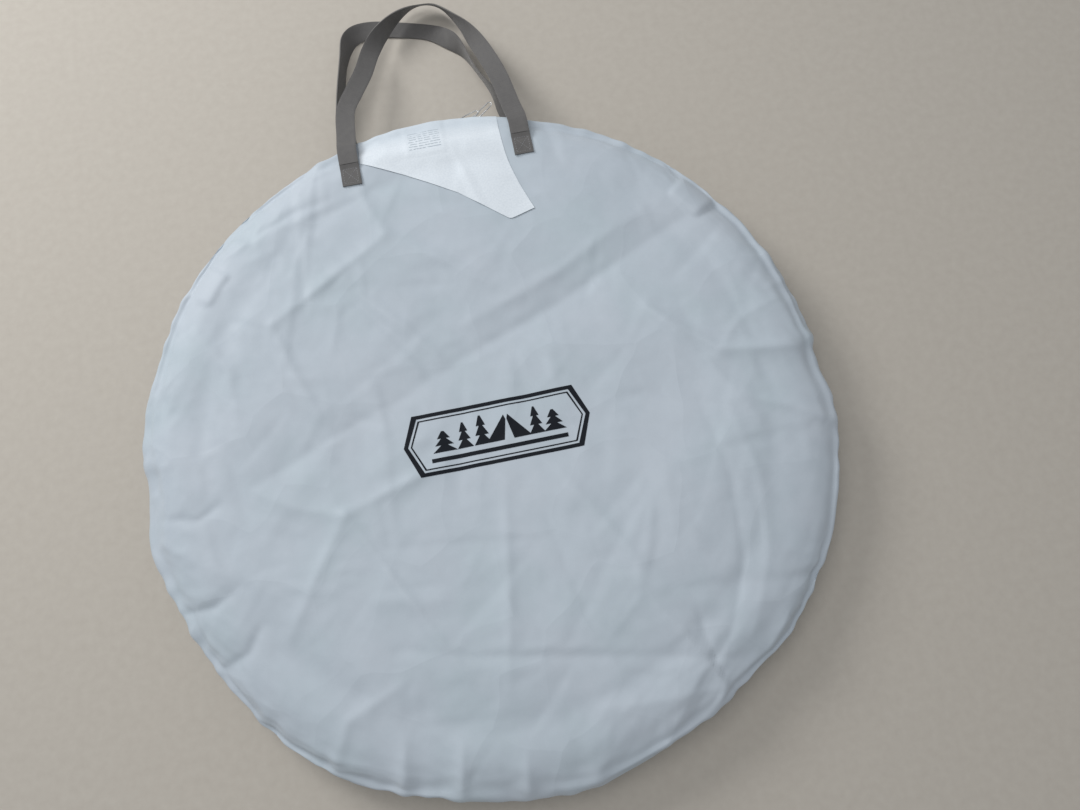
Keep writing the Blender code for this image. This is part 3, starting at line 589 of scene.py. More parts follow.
made = round_sheet("settling_form", FORM_CELLS, near_front, far_front)
form, form_place, form_out, _, form_share = made
radius = np.hypot(form_place[:, 0], form_place[:, 1])
sunk = FORM_CLEARANCE + 2.5 * MM * np.exp(-(((radius - 0.345) / 0.012) ** 2))
lumps = ripples(form_place[:, 0], form_place[:, 1], 7, 0.24, 0.05) * 1.5 * MM
depth = (sunk - lumps) * smoothstep(1.02, 0.96, form_share) + 1.5 * MM
set_points(form, form_place - form_out * depth[:, None])
went = settle(front, share > 0.985, form)
move = went - place
reach = np.linalg.norm(move, axis=1)
print(
    "cloth settled by up to",
    round(float(reach.max()) / MM, 1),
    "mm, mean",
    round(float(reach.mean()) / MM, 2),
)
place = place + move * np.minimum(1, MOST_MOVE / np.maximum(reach, 1e-9))[:, None]
bpy.data.objects.remove(form, do_unlink=True)

# %% Front cloth, finer folds and seam
EDGE_BAND = 16 * MM
cloth_length = float(np.hypot(flat[:, 0], flat[:, 1]).max())
set_points(front, place)
lay_uv(front, flat)
soften(front)
fine = points_of(front)


def flat_of(obj):
    """The flat map of each vertex, read back from the corners."""
    corners = np.empty(len(obj.data.loops), dtype=np.int32)
    obj.data.loops.foreach_get("vertex_index", corners)
    uv = np.empty(len(obj.data.loops) * 2, dtype=np.float32)
    obj.data.uv_layers.active.data.foreach_get("uv", uv)
    flat_place = np.zeros((len(obj.data.vertices), 2))
    flat_place[corners] = uv.reshape(-1, 2)
    return flat_place


def normals_of(obj):
    normals = np.empty(len(obj.data.vertices) * 3, dtype=np.float32)
    obj.data.vertices.foreach_get("normal", normals)
    return normals.reshape(-1, 3).astype(float)


fine_flat = flat_of(front)
to_edge = cloth_length - np.hypot(fine_flat[:, 0], fine_flat[:, 1])
turn = np.arctan2(fine_flat[:, 1], fine_flat[:, 0])
crisp = folds_at(fine[:, 0], fine[:, 1], 8.0) * 0.9 * smoothstep(0.0, 0.03, to_edge)
crisp += crumple(fine_flat[:, 0], fine_flat[:, 1], 21, 90, 0.22, 0.026) * 1.6 * MM
crisp += crumple(fine_flat[:, 0], fine_flat[:, 1], 22, 170, 0.10, 0.013) * 0.8 * MM
uneven = ripples(fine_flat[:, 0], fine_flat[:, 1], 11, 0.09, 0.020) * 0.35 * MM
gathers = puckers(
    turn, math.radians(5.0), 5
) * 1.1 * MM * np.exp(-((to_edge / 0.035) ** 2)) * smoothstep(0, 0.006, to_edge)
groove = -0.9 * MM * np.exp(-np.abs(to_edge - EDGE_BAND) / (1.6 * MM)) * zip_share(turn)
lift = (crisp + uneven + groove) * smoothstep(0.0, 0.008, to_edge) + gathers
lift *= away_from_straps(fine[:, 0], fine[:, 1])
fine = fine + normals_of(front) * lift[:, None]
radius = np.hypot(fine[:, 0], fine[:, 1])
# The near side sags between the rim and the crown.
near_side = smoothstep(0.05, -0.25, fine[:, 1])
fine[:, 2] -= NEAR_SAG * near_side * smoothstep(0.27, 0.385, radius) * smoothstep(0.425, 0.395, radius)
heading = np.degrees(np.arctan2(fine[:, 1], fine[:, 0]))
# The elastic bands hold the cloth up where it crosses them.
from_band = np.minimum(*(np.abs(heading - angle) for angle in BAND_ANGLES.values()))
over_band = smoothstep(6.0, 2.8, from_band) * smoothstep(
    0.355, 0.385, radius
) * smoothstep(0.425, 0.416, radius)
lowest = np.interp(radius, *near_front) - (14 - 12.5 * over_band) * MM
fine[:, 2] = np.where(over_band > 0, np.maximum(fine[:, 2], lowest), fine[:, 2])
set_points(front, lobed(fine))
thicken(front, CLOTH_THICKNESS)
smooth(front, 60)
print("front cloth", len(front.data.polygons), "faces, cut", round(2 * cloth_length, 3), "m across")

# %% [markdown]
# ### Coated polyester
# The cloth is plain-woven polyester with a thin coating. It looks matt with a soft sheen at grazing
# angles, and its pale blue-grey shifts a little from place to place where the coating is thicker.
# The threads are 0.4 mm apart, too fine to show, so the weave is drawn at 0.9 mm.


# %% Cloth material
def woven(tree, spacing, softness=0.5):
    """Height of a plain weave, laid along the piece's flat map."""
    flat_map = node(tree, "UVMap")
    apart = node(tree, "SeparateXYZ", Vector=flat_map.outputs["UV"])
    waves = []
    for axis in ("X", "Y"):
        scaled = node(tree, "Math", {"operation": "MULTIPLY", 1: math.tau / spacing}, _0=apart.outputs[axis])
        waves.append(node(tree, "Math", {"operation": "SINE"}, _0=scaled.outputs[0]))
    both = node(tree, "Math", {"operation": "MULTIPLY"}, _0=waves[0].outputs[0], _1=waves[1].outputs[0])
    return node(
        tree, "Math", {"operation": "MULTIPLY_ADD", 1: softness, 2: 0.5}, _0=both.outputs[0]
    ), flat_map


def coated_cloth(name, base, shade, lighter, spacing=0.9 * MM, roughness=0.5):
    material, tree, shader = start_material(name, roughness, Specular_IOR_Level=0.32, Sheen_Weight=0.12)
    weave, flat_map = woven(tree, spacing)
    patch = node(
        tree, "TexNoise", {"Scale": 7.0, "Detail": 3.0, "Roughness": 0.55}, Vector=flat_map.outputs["UV"]
    )
    tint = two_tones(tree, patch.outputs["Fac"], shade, lighter, 0.34, 0.66)
    middle = tint.color_ramp.elements.new(0.5)
    middle.color = colour(base)
    dust = node(
        tree, "TexNoise", {"Scale": 55.0, "Detail": 6.0, "Roughness": 0.7}, Vector=flat_map.outputs["UV"]
    )
    dusting = {"From Min": 0.3, "From Max": 0.75, "To Min": 0.97, "To Max": 1.02}
    dusty = node(tree, "MapRange", dusting, Value=dust.outputs["Fac"])
    thread = node(tree, "Math", {"operation": "MULTIPLY_ADD", 1: 0.035, 2: 0.983}, _0=weave.outputs[0])
    bright = node(tree, "Math", {"operation": "MULTIPLY"}, _0=dusty.outputs[0], _1=thread.outputs[0])
    painted = node(
        tree, "VectorMath", {"operation": "SCALE"}, _0=tint.outputs["Color"], Scale=bright.outputs[0]
    )
    paint(tree, shader, "Base Color", painted.outputs[0])
    rough = node(
        tree,
        "MapRange",
        {"To Min": roughness - 0.06, "To Max": roughness + 0.12},
        Value=dust.outputs["Fac"],
    )
    paint(tree, shader, "Roughness", rough.outputs[0])
    fine_bump = node(tree, "Bump", {"Strength": 0.12, "Distance": 0.1 * MM}, Height=weave.outputs[0])
    drift = node(tree, "TexNoise", {"Scale": 5.0, "Detail": 2.0}, Vector=flat_map.outputs["UV"])
    shift = node(
        tree, "VectorMath", {"operation": "MULTIPLY_ADD", 1: (0.16, 0.16, 0.0)}, _0=drift.outputs["Color"]
    )
    tree.links.new(flat_map.outputs["UV"], shift.inputs[2])
    facet = node(tree, "TexVoronoi", {"Scale": 10.0, "Randomness": 1.0}, Vector=shift.outputs[0])
    facets = node(
        tree,
        "Bump",
        {"Strength": 0.75, "Distance": 6.0 * MM},
        Height=facet.outputs["Distance"],
        Normal=fine_bump.outputs[0],
    )
    soft = node(
        tree, "TexNoise", {"Scale": 26.0, "Detail": 3.0, "Distortion": 0.8}, Vector=flat_map.outputs["UV"]
    )
    crumple = node(
        tree,
        "Bump",
        {"Strength": 0.25, "Distance": 1.2 * MM},
        Height=soft.outputs["Fac"],
        Normal=facets.outputs[0],
    )
    paint(tree, shader, "Normal", crumple.outputs[0])
    return material


BAG_CLOTH = coated_cloth("coated polyester, pale blue-grey", "#B9C3CC", "#B6C2CA", "#BCC5CE")
dress(front, BAG_CLOTH)
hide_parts("front_panel_fixed", "front_panel_flap")

# %% [markdown]
# ## The back panel
# The underside lies flat on the ground and turns up to the seam. The ground presses its middle
# flat, so only its side wall puckers.

# %% Back cloth
near_back = back_line(SEAM_HEIGHT - 0.3 * MM)
far_back = back_line(MOUTH_EDGE)
made = round_sheet("bag_back_cloth", FRONT_CELLS, near_back, far_back)
back, back_place, _, back_flat, _ = made
set_points(back, back_place)
lay_uv(back, back_flat)
soften(back)
fine = points_of(back)
fine_flat = flat_of(back)
back_length = float(np.hypot(back_flat[:, 0], back_flat[:, 1]).max())
to_edge = back_length - np.hypot(fine_flat[:, 0], fine_flat[:, 1])
turn = np.arctan2(fine_flat[:, 1], fine_flat[:, 0])
radius = np.hypot(fine[:, 0], fine[:, 1])
outward = np.column_stack(
    (fine[:, 0] / np.maximum(radius, 1e-6), fine[:, 1] / np.maximum(radius, 1e-6), 0 * radius)
)
wall = smoothstep(FLAT_RADIUS, FLAT_RADIUS + 0.030, radius) * smoothstep(0.0, 0.012, to_edge)
pucker = puckers(turn, math.radians(6.0), 9) * 1.6 * MM * wall
wrinkle = ripples(fine[:, 0], fine[:, 1], 3, 0.12, 0.02) * 0.5 * MM
raised = np.abs(wrinkle) * (1 - smoothstep(FLAT_RADIUS - 0.02, FLAT_RADIUS + 0.01, radius))
fine = fine + outward * pucker[:, None]
fine[:, 2] = np.maximum(fine[:, 2] + raised, 0.05 * MM)
set_points(back, lobed(fine))
mend(back, flip=True)
thicken(back, CLOTH_THICKNESS)
smooth(back, 60)
dress(back, BAG_CLOTH)
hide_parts("back_panel")
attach(back, "bag")
print("back cloth", len(back.data.polygons), "faces, cut", round(2 * back_length, 3), "m across")

# %% [markdown]
# ## Webbing handles
# Each handle is one length of 25 mm polypropylene webbing. Its ends are sewn flat to the bag, its
# legs swing on the stitches, and the loop lies twisted on its edge. A grid of faces follows listed
# stations on a smooth curve, and it carries a flat map so that the ribs run along the strap.

# %% Ribbons along a route
STRAP_WIDTH = 25 * MM
STRAP_THICKNESS = 1.6 * MM


def smooth_route(stations, steps):
    """Catmull-Rom curve through listed stations, each a tuple of numbers of one length."""
    stations = np.array(stations, float)
    padded = np.vstack((stations[0], stations, stations[-1]))
    route = []
    for a, b, c, d in zip(padded, padded[1:], padded[2:], padded[3:]):
        for t in np.arange(steps) / steps:
            route.append(
                (
                    b * 2 + (c - a) * t + (2 * a - 5 * b + 4 * c - d) * t * t + (3 * b - a - 3 * c + d) * t**3
                ) / 2
            )
    route.append(stations[-1])
    return np.array(route)


def ribbon(name, middles, acrosses, width, thickness, cells=8, crown=0.0):
    """A strap along its middles, across the given directions, with a flat map in metres."""
    count = len(middles)
    obj = new_grid(name, count - 1, cells)
    square = points_of(obj)
    station = np.rint((square[:, 0] + 1) / 2 * (count - 1)).astype(int)
    side = square[:, 1] / 2
    ahead = np.gradient(middles, axis=0)
    ahead /= np.linalg.norm(ahead, axis=1)[:, None]
    above = np.cross(ahead, acrosses)
    bulge = crown * (1 - (2 * side) ** 2)
    place = middles[station] + acrosses[station] * (side * width)[:, None] + above[station] * bulge[:, None]
    set_points(obj, place)
    run = np.concatenate(([0], np.cumsum(np.linalg.norm(np.diff(middles, axis=0), axis=1))))
    lay_uv(obj, np.column_stack((run[station], side * width)))
    thicken(obj, thickness, 0.0)
    return obj


def rounded(obj, width, segments=2):
    return add_modifier(
        obj, "BEVEL", width=width, segments=segments, limit_method="ANGLE", angle_limit=math.radians(50)
    )


# %% [markdown]
# ### Woven webbing
# Webbing has warp ribs running along it, crossed by a finer weft, and a thicker turned edge. The
# yarn is dyed grey and has a soft, dull shine. Ribs are 1.4 mm apart, the weft 0.9 mm.


# %% Webbing material
def webbing(name, dark, light, rib=1.4 * MM, weft=0.9 * MM):
    material, tree, shader = start_material(name, 0.62, Specular_IOR_Level=0.35, Sheen_Weight=0.25)
    flat_map = node(tree, "UVMap")
    apart = node(tree, "SeparateXYZ", Vector=flat_map.outputs["UV"])
    across = node(tree, "Math", {"operation": "MULTIPLY", 1: math.tau / rib}, _0=apart.outputs["Y"])
    ribs = node(tree, "Math", {"operation": "COSINE"}, _0=across.outputs[0])
    shifted = node(
        tree, "Math", {"operation": "MULTIPLY_ADD", 1: math.pi / rib, 2: 0.0}, _0=apart.outputs["Y"]
    )
    run = node(tree, "Math", {"operation": "MULTIPLY"}, _0=apart.outputs["X"])
    run.inputs[1].default_value = math.tau / weft
    slant = node(tree, "Math", {"operation": "ADD"}, _0=run.outputs[0], _1=shifted.outputs[0])
    wefts = node(tree, "Math", {"operation": "SINE"}, _0=slant.outputs[0])
    both = node(tree, "Math", {"operation": "MULTIPLY_ADD", 1: 0.35}, _0=wefts.outputs[0], _2=ribs.outputs[0])
    height = node(tree, "Math", {"operation": "MULTIPLY_ADD", 1: 0.37, 2: 0.5}, _0=both.outputs[0])
    worn = node(tree, "TexNoise", {"Scale": 140.0, "Detail": 5.0}, Vector=flat_map.outputs["UV"])
    mixed = node(
        tree, "Math", {"operation": "MULTIPLY_ADD", 1: 0.5}, _0=worn.outputs["Fac"], _2=height.outputs[0]
    )
    tint = two_tones(tree, mixed.outputs[0], dark, light, 0.25, 1.0)
    paint(tree, shader, "Base Color", tint.outputs["Color"])
    bump = node(tree, "Bump", {"Strength": 0.6, "Distance": 0.35 * MM}, Height=height.outputs[0])
    paint(tree, shader, "Normal", bump.outputs[0])
    return material


WEBBING = webbing("woven polypropylene webbing, grey", "#464546", "#696765")

# %% Front handle route
HALF_SPAN = 113 * MM
front_pivot = Vector(joints["front_handle"]["pos_m"])
back_pivot = Vector(joints["back_handle"]["pos_m"])
# x as a share of the half span, distance beyond the rim, height in metres, and lean in degrees.
FRONT_LOOP = (
    (-0.99, -0.008, 0.0698, 0),
    (-0.96, 0.037, 0.0582, 4),
    (-0.84, 0.072, 0.0458, 8),
    (-0.69, 0.107, 0.0365, 14),
    (-0.57, 0.140, 0.0310, 25),
    (-0.41, 0.169, 0.0264, 55),
    (-0.16, 0.195, 0.0240, 95),
    (0.11, 0.208, 0.0225, 126),
    (0.35, 0.202, 0.0225, 120),
    (0.57, 0.169, 0.0256, 90),
    (0.71, 0.135, 0.0326, 50),
    (0.82, 0.096, 0.0427, 20),
    (0.91, 0.051, 0.0551, 6),
    (0.97, -0.004, 0.0690, 0),
)
BACK_LOOP = (
    (-1.06, 0.015, 25),
    (-1.07, 0.050, 55),
    (-1.03, 0.095, 75),
    (-0.94, 0.145, 80),
    (-0.81, 0.182, 45),
    (-0.55, 0.197, 8),
    (-0.18, 0.190, 0),
    (0.18, 0.178, 0),
    (0.39, 0.159, 30),
    (0.56, 0.131, 80),
    (0.69, 0.093, 100),
    (0.83, 0.057, 85),
    (0.97, 0.019, 25),
)
ROUTE_STEPS = 8


def on_ground(lean):
    """Height of the strap's middle when its lower edge touches the ground at this lean."""
    return 0.9 * MM + STRAP_WIDTH / 2 * np.sin(lean) + STRAP_THICKNESS / 2 * np.cos(lean)


def leaning(middles, lean):
    """Directions across the strap: flat where lean is 0, standing on its edge at 90 degrees."""
    ahead = np.gradient(middles, axis=0)
    side = np.cross(ahead, (0, 0, 1))
    side /= np.linalg.norm(side, axis=1)[:, None]
    up = np.cross(side, ahead)
    up /= np.linalg.norm(up, axis=1)[:, None]
    return side * np.cos(lean)[:, None] - up * np.sin(lean)[:, None]


# %% [markdown]
# The sewn ends lie on the finished cloth. A ray cast straight down onto it gives each point's
# height, so the strap follows the folds instead of floating over them.


# %% Pressing pieces onto the cloth
def tree_of(obj):
    return BVHTree.FromObject(obj, bpy.context.evaluated_depsgraph_get())


front_tree = tree_of(front)
back_tree = tree_of(back)


def cloth_height(x, y, fallback=CROWN_HEIGHT):
    """Height of the front cloth under a point."""
    hit = front_tree.ray_cast(Vector((x, y, 0.3)), Vector((0, 0, -1)))[0]
    return hit.z if hit else fallback


def underside_height(x, y, fallback=0.02):
    hit = back_tree.ray_cast(Vector((x, y, -0.3)), Vector((0, 0, 1)))[0]
    return hit.z if hit else fallback


# %% Front handle
SEWN_LENGTH = 30 * MM
SEWN_LIFT = STRAP_THICKNESS / 2 + 0.3 * MM


def sewn_run(x, start_y, end_y, pivot_height, count=12):
    """Stations of a sewn end from the pivot back over the cloth."""
    run = np.linspace(start_y, end_y, count)
    down = np.array([max(cloth_height(x + dx, y) for dx in (-0.0125, 0, 0.0125)) for y in run]) + SEWN_LIFT
    down = np.convolve(np.pad(down, 2, mode="edge"), np.ones(5) / 5, mode="valid")
    blend = smoothstep(0, 0.35, np.linspace(0, 1, count))
    return [(x, y, max(pivot_height * (1 - b) + z * b, z), 0) for y, z, b in zip(run, down, blend)]


sewn_back = front_pivot.y - 2.2 * MM - SEWN_LENGTH
left_end = sewn_run(-HALF_SPAN, front_pivot.y, sewn_back, front_pivot.z)[::-1]
right_end = sewn_run(HALF_SPAN, front_pivot.y, sewn_back, front_pivot.z)
loop = [(-HALF_SPAN, front_pivot.y + 20 * MM, front_pivot.z - 1 * MM, 0)]
loop += [(x * HALF_SPAN, RIM + out, z, math.radians(lean)) for x, out, z, lean in FRONT_LOOP]
loop += [(HALF_SPAN, front_pivot.y + 20 * MM, front_pivot.z - 1 * MM, 0)]
route = smooth_route(left_end + loop + right_end, ROUTE_STEPS)
middles, lean = route[:, :3].copy(), route[:, 3]
middles[:, 2] = np.maximum(middles[:, 2], on_ground(lean))
front_strap = ribbon(
    "front_handle_webbing", middles, leaning(middles, lean), STRAP_WIDTH, STRAP_THICKNESS, crown=0.3 * MM
)
smooth(rounded(front_strap, 0.5 * MM), 50)
dress(front_strap, WEBBING)
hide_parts("front_handle", "front_strap_end_left", "front_strap_end_right")
print("front handle", round(float(np.linalg.norm(np.diff(middles, axis=0), axis=1).sum()), 3), "m long")

# %% Back handle
turn_out = math.asin(HALF_SPAN / (RIM - 21 * MM))
radial = np.array((math.sin(turn_out), math.cos(turn_out)))
pivot_x = back_pivot.y * math.tan(turn_out)


def under_run(sign, count=10):
    """Stations of a sewn end under the bag, from its inner end out to the pivot."""
    stations = []
    for share in np.linspace(0, 1, count):
        reach = (26.5 * MM) * (1 - share)
        x = sign * (pivot_x - radial[0] * reach)
        y = back_pivot.y - radial[1] * reach
        low = underside_height(x, y) - SEWN_LIFT - 0.6 * MM
        keep = float(smoothstep(0.6, 1.0, share))
        stations.append((x, y, max(low, 1.2 * MM) * (1 - keep) + back_pivot.z * keep, 0))
    return stations


left_end, right_end = under_run(-1), under_run(1)[::-1]
low = back_pivot.z * 0.75
loop = [(-pivot_x - 4 * MM, back_pivot.y + 14 * MM, low, math.radians(8))]
loop += [(x * HALF_SPAN, RIM + out, 0, math.radians(lean)) for x, out, lean in BACK_LOOP]
loop += [(pivot_x + 2 * MM, back_pivot.y + 14 * MM, low, math.radians(8))]
route = smooth_route(left_end + loop + right_end, ROUTE_STEPS)
middles, lean = route[:, :3].copy(), route[:, 3]
beyond = route[:, 1] > back_pivot.y
middles[:, 2] = np.where(beyond, np.maximum(middles[:, 2], on_ground(lean)), middles[:, 2])
back_strap = ribbon(
    "back_handle_webbing", middles, leaning(middles, lean), STRAP_WIDTH, STRAP_THICKNESS, crown=0.3 * MM
)
smooth(rounded(back_strap, 0.5 * MM), 50)
dress(back_strap, WEBBING)
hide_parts("back_handle", "back_strap_end_left", "back_strap_end_right")
print("back handle", round(float(np.linalg.norm(np.diff(middles, axis=0), axis=1).sum()), 3), "m long")

# %% [markdown]
# ### Box stitches
# Each sewn end is held by a rectangle of stitches with a cross in it. One stitch is a short flat
# loop of thread, made once and copied along the lines, just proud of the webbing.

# %% Box stitches
THREAD, tree, shader = start_material("bonded polyester thread, light grey", 0.5, Sheen_Weight=0.2)
twist = node(
    tree, "TexNoise", {"Scale": 1500.0, "Detail": 2.0}, Vector=node(tree, "TexCoord").outputs["Object"]
)
tone = two_tones(tree, twist.outputs["Fac"], "#77777A", "#949598")
paint(tree, shader, "Base Color", tone.outputs["Color"])


def box_stitch(name, corners, height_of, above):
    """Stitches round a rectangle and across it, lying on the webbing."""
    places = []
    lines = [(corners[k], corners[(k + 1) % 4]) for k in range(4)] + [
        (corners[0], corners[2]), (corners[1], corners[3])
    ]
    for a, b in lines:
        a, b = np.array(a), np.array(b)
        count = max(int(np.linalg.norm(b - a) / (2.9 * MM)), 2)
        heading = math.atan2(*(b - a)[::-1])
        places += [(a + (b - a) * (k + 0.5) / count, heading) for k in range(count)]
    stitches = []
    for spot, heading in places:
        start_fresh()
        bpy.ops.mesh.primitive_uv_sphere_add(segments=8, ring_count=4, radius=1)
        stitch = bpy.context.object
        ball = points_of(stitch)
        along_x = ball[:, 0] * 1.15 * MM
        aside = ball[:, 1] * 0.32 * MM
        x = spot[0] + along_x * math.cos(heading) - aside * math.sin(heading)
        y = spot[1] + along_x * math.sin(heading) + aside * math.cos(heading)
        z = height_of(spot[0], spot[1]) + above + ball[:, 2] * 0.25 * MM
        set_points(stitch, np.column_stack((x, y, z)))
        stitches.append(stitch)
    return dress(smooth(join(stitches, name), 80), THREAD)


strap_tree = tree_of(front_strap)


def strap_height(x, y):
    hit = strap_tree.ray_cast(Vector((x, y, 0.3)), Vector((0, 0, -1)))[0]
    return hit.z if hit else cloth_height(x, y)


for side, x in (("left", -HALF_SPAN), ("right", HALF_SPAN)):
    near, far, half = sewn_back + 3 * MM, front_pivot.y - 9 * MM, 9 * MM
    corners = ((x - half, near), (x + half, near), (x + half, far), (x - half, far))
    sewn = box_stitch(f"box_stitch_{side}", corners, strap_height, 0.05 * MM)
    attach(sewn, "flap")
print("box stitches", len(sewn.data.polygons), "faces each")

# %% [markdown]
# ## The two labels
# A large leaf of thin white spunbonded cloth is sewn in at the rim and lies on the bag. A small
# satin label with printed lines is sewn under it and shows through. Both follow the cloth below.
# Plain grey bars stand for the fine print.


# %% Leaves pressed on the cloth
def quiet(heights, turns=2):
    """Even out a table of heights by averaging each with its neighbours."""
    for _ in range(turns):
        padded = np.pad(heights, 1, mode="edge")
        near = padded[:-2, 1:-1] + padded[2:, 1:-1] + padded[1:-1, :-2] + padded[1:-1, 2:]
        heights = heights * 0.4 + near * 0.15
    return heights


def leaf(name, top_span, lower_edge, side_bow, lift, columns, rows, raised):
    """A leaf from the rim down to its lower edge, given as shares along it and places."""
    obj = new_grid(name, columns, rows)
    square = points_of(obj)
    u = (square[:, 0] + 1) / 2
    v = (1 - square[:, 1]) / 2
    top_x = top_span[0] + (top_span[1] - top_span[0]) * u
    top_y = np.sqrt(LABEL_SEAM**2 - top_x**2)
    shares, xs, ys = np.array(lower_edge).T
    low_x = np.interp(u, shares, xs)
    low_y = np.interp(u, shares, ys)
    x = top_x + (low_x - top_x) * v - side_bow * np.sin(math.pi * v) * u**3
    y = top_y + (low_y - top_y) * v
    down = np.array([cloth_height(a, b) for a, b in zip(x, y)])
    order = np.lexsort((u, np.round(v, 6)))
    table = down[order].reshape(rows + 1, columns + 1)
    level = np.empty(len(down))
    level[order] = np.maximum(quiet(table), table).ravel()
    top_lift = lift * (0.25 + 0.75 * smoothstep(0.0, 0.12, v))
    place = np.column_stack((x, y, level + top_lift + raised(u, v, x, y)))
    set_points(obj, place)
    lay_uv(obj, np.column_stack((x, y)))
    return obj


LABEL_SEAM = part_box("hang_label")[1].y - 3.2 * MM


def label_folds(u, v, x, y):
    """Folds that fan out from the seam, one crease near the middle and a lower edge that lifts."""
    fan = np.abs(np.sin(u * 9.0 + 0.6)) ** 0.8 * smoothstep(0.05, 0.5, v) * (1 - 0.5 * v)
    crease = np.clip(1 - np.abs(x - 0.010 - 0.25 * (0.42 - y)) / 0.010, 0, 1) * smoothstep(0.1, 0.6, v)
    curl = smoothstep(0.90, 1.0, v) * (0.5 + 0.5 * np.sin(u * 7.0))
    corner = smoothstep(0.75, 1.0, u) * smoothstep(0.8, 1.0, v)
    left = 1 - smoothstep(0.0, 0.10, u)
    over_small = smoothstep(-0.042, -0.035, x) * smoothstep(0.018, 0.011, x) * smoothstep(0.364, 0.371, y)
    return (fan * 0.6 + crease * 0.9 + curl * 0.5 + corner * 0.3 + over_small * 0.7) * MM * (1 - 0.85 * left)


hang_edge = (
    (0.00, -0.0992, 0.3720),
    (0.28, -0.0450, 0.3450),
    (0.58, 0.0180, 0.3070),
    (0.86, 0.0760, 0.2600),
    (0.90, 0.0800, 0.2590),
    (1.00, 0.1110, 0.2670),
)
hang = leaf("hang_label_cloth", (-0.0985, 0.0876), hang_edge, 9 * MM, 0.4 * MM, 96, 64, label_folds)
thicken(hang, 0.15 * MM, 1.0)
smooth(hang, 50)
care_edge = ((0.0, -0.034, 0.372), (1.0, 0.010, 0.3725))
care = leaf("care_label_cloth", (-0.034, 0.010), care_edge, 0, 0.4 * MM, 24, 32, lambda u, v, x, y: 0 * u)
thicken(care, 0.15 * MM, 1.0)
smooth(care, 50)


def printed_leaf(name, base, ink, spot, roughness, spacing):
    """Pale cloth with rows of plain bars inside one rectangle of its flat map."""
    material, tree, shader = start_material(name, roughness, Specular_IOR_Level=0.3, Sheen_Weight=0.2)
    left, right_side, low, high = spot
    flat_map = node(tree, "UVMap")
    apart = node(tree, "SeparateXYZ", Vector=flat_map.outputs["UV"])
    rows = node(tree, "Math", {"operation": "MULTIPLY", 1: 1 / 4.0e-3}, _0=apart.outputs["Y"])
    row = node(tree, "Math", {"operation": "FRACT"}, _0=rows.outputs[0])
    line = node(tree, "Math", {"operation": "LESS_THAN", 1: 0.38}, _0=row.outputs[0])
    words = node(tree, "TexNoise", {"Scale": 260.0, "Detail": 0.0}, Vector=flat_map.outputs["UV"])
    worded = node(tree, "Math", {"operation": "GREATER_THAN", 1: 0.44}, _0=words.outputs["Fac"])
    inked = node(tree, "Math", {"operation": "MULTIPLY"}, _0=line.outputs[0], _1=worded.outputs[0])
    for axis, low_end, high_end in (("X", left, right_side), ("Y", low, high)):
        past = node(tree, "Math", {"operation": "GREATER_THAN", 1: low_end}, _0=apart.outputs[axis])
        before = node(tree, "Math", {"operation": "LESS_THAN", 1: high_end}, _0=apart.outputs[axis])
        inside = node(tree, "Math", {"operation": "MULTIPLY"}, _0=past.outputs[0], _1=before.outputs[0])
        inked = node(tree, "Math", {"operation": "MULTIPLY"}, _0=inked.outputs[0], _1=inside.outputs[0])
    fibre = node(tree, "TexNoise", {"Scale": 420.0, "Detail": 4.0}, Vector=flat_map.outputs["UV"])
    tone = two_tones(tree, fibre.outputs["Fac"], base[0], base[1], 0.3, 0.7)
    thin = {"From Min": 0.385, "From Max": 0.408, "To Min": 0.0, "To Max": 0.55}
    showing = node(tree, "MapRange", thin, Value=apart.outputs["Y"])
    through = node(
        tree, "MixRGB", {"Color2": colour("#BCC8D2")}, Fac=showing.outputs[0], Color1=tone.outputs["Color"]
    )
    mixed = node(
        tree, "MixRGB", {"Color2": colour(ink)}, Fac=inked.outputs[0], Color1=through.outputs["Color"]
    )
    paint(tree, shader, "Base Color", mixed.outputs[0])
    weave, _ = woven(tree, spacing)
    bump = node(tree, "Bump", {"Strength": 0.2, "Distance": 0.1 * MM}, Height=weave.outputs[0])
    paint(tree, shader, "Normal", bump.outputs[0])
    return material


SPOT = (-0.033, 0.009, 0.376, 0.408)
dress(
    hang,
    printed_leaf("spunbonded white label cloth", ("#D9E1E8", "#E4EBF1"), "#B3BDC6", SPOT, 0.55, 0.8 * MM),
)
dress(care, printed_leaf("white satin care label", ("#DADFE2", "#E6EAEC"), "#8F959A", SPOT, 0.45, 0.6 * MM))
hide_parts("hang_label")
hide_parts("care_label")
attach(hang, "label")
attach(care, "label")


def one_side(obj):
    """Half the area of a thickened sheet."""
    return sum(face.area for face in obj.data.polygons) / 2


print("hang label", round(one_side(hang) * 1e4), "cm2, care label", round(one_side(care) * 1e4), "cm2")

# %% [markdown]
# ## The printed mark
# A screen-printed mark lies in the middle of the front. It is drawn as a plain camping badge: a
# long six-sided frame of two lines, a tent between trees and a bar. Each part is a small patch
# of faces, pressed a quarter of a millimetre above the cloth.

# %% Printed mark
MARK_CENTRE = np.array((0.009, -0.0085))
patches = []


def patch(corners, columns, rows):
    """A four-cornered patch of faces between places in millimetres from the mark's centre."""
    obj = new_grid("ink", columns, rows)
    square = points_of(obj)
    u = ((square[:, 0] + 1) / 2)[:, None]
    v = ((square[:, 1] + 1) / 2)[:, None]
    a, b, c, d = [np.array(corner) * MM + MARK_CENTRE for corner in corners]
    spot = (a * (1 - u) + b * u) * (1 - v) + (d * (1 - u) + c * u) * v
    level = [cloth_height(x, y) + 0.25 * MM for x, y in spot]
    set_points(obj, np.column_stack((spot, level)))
    patches.append(obj)


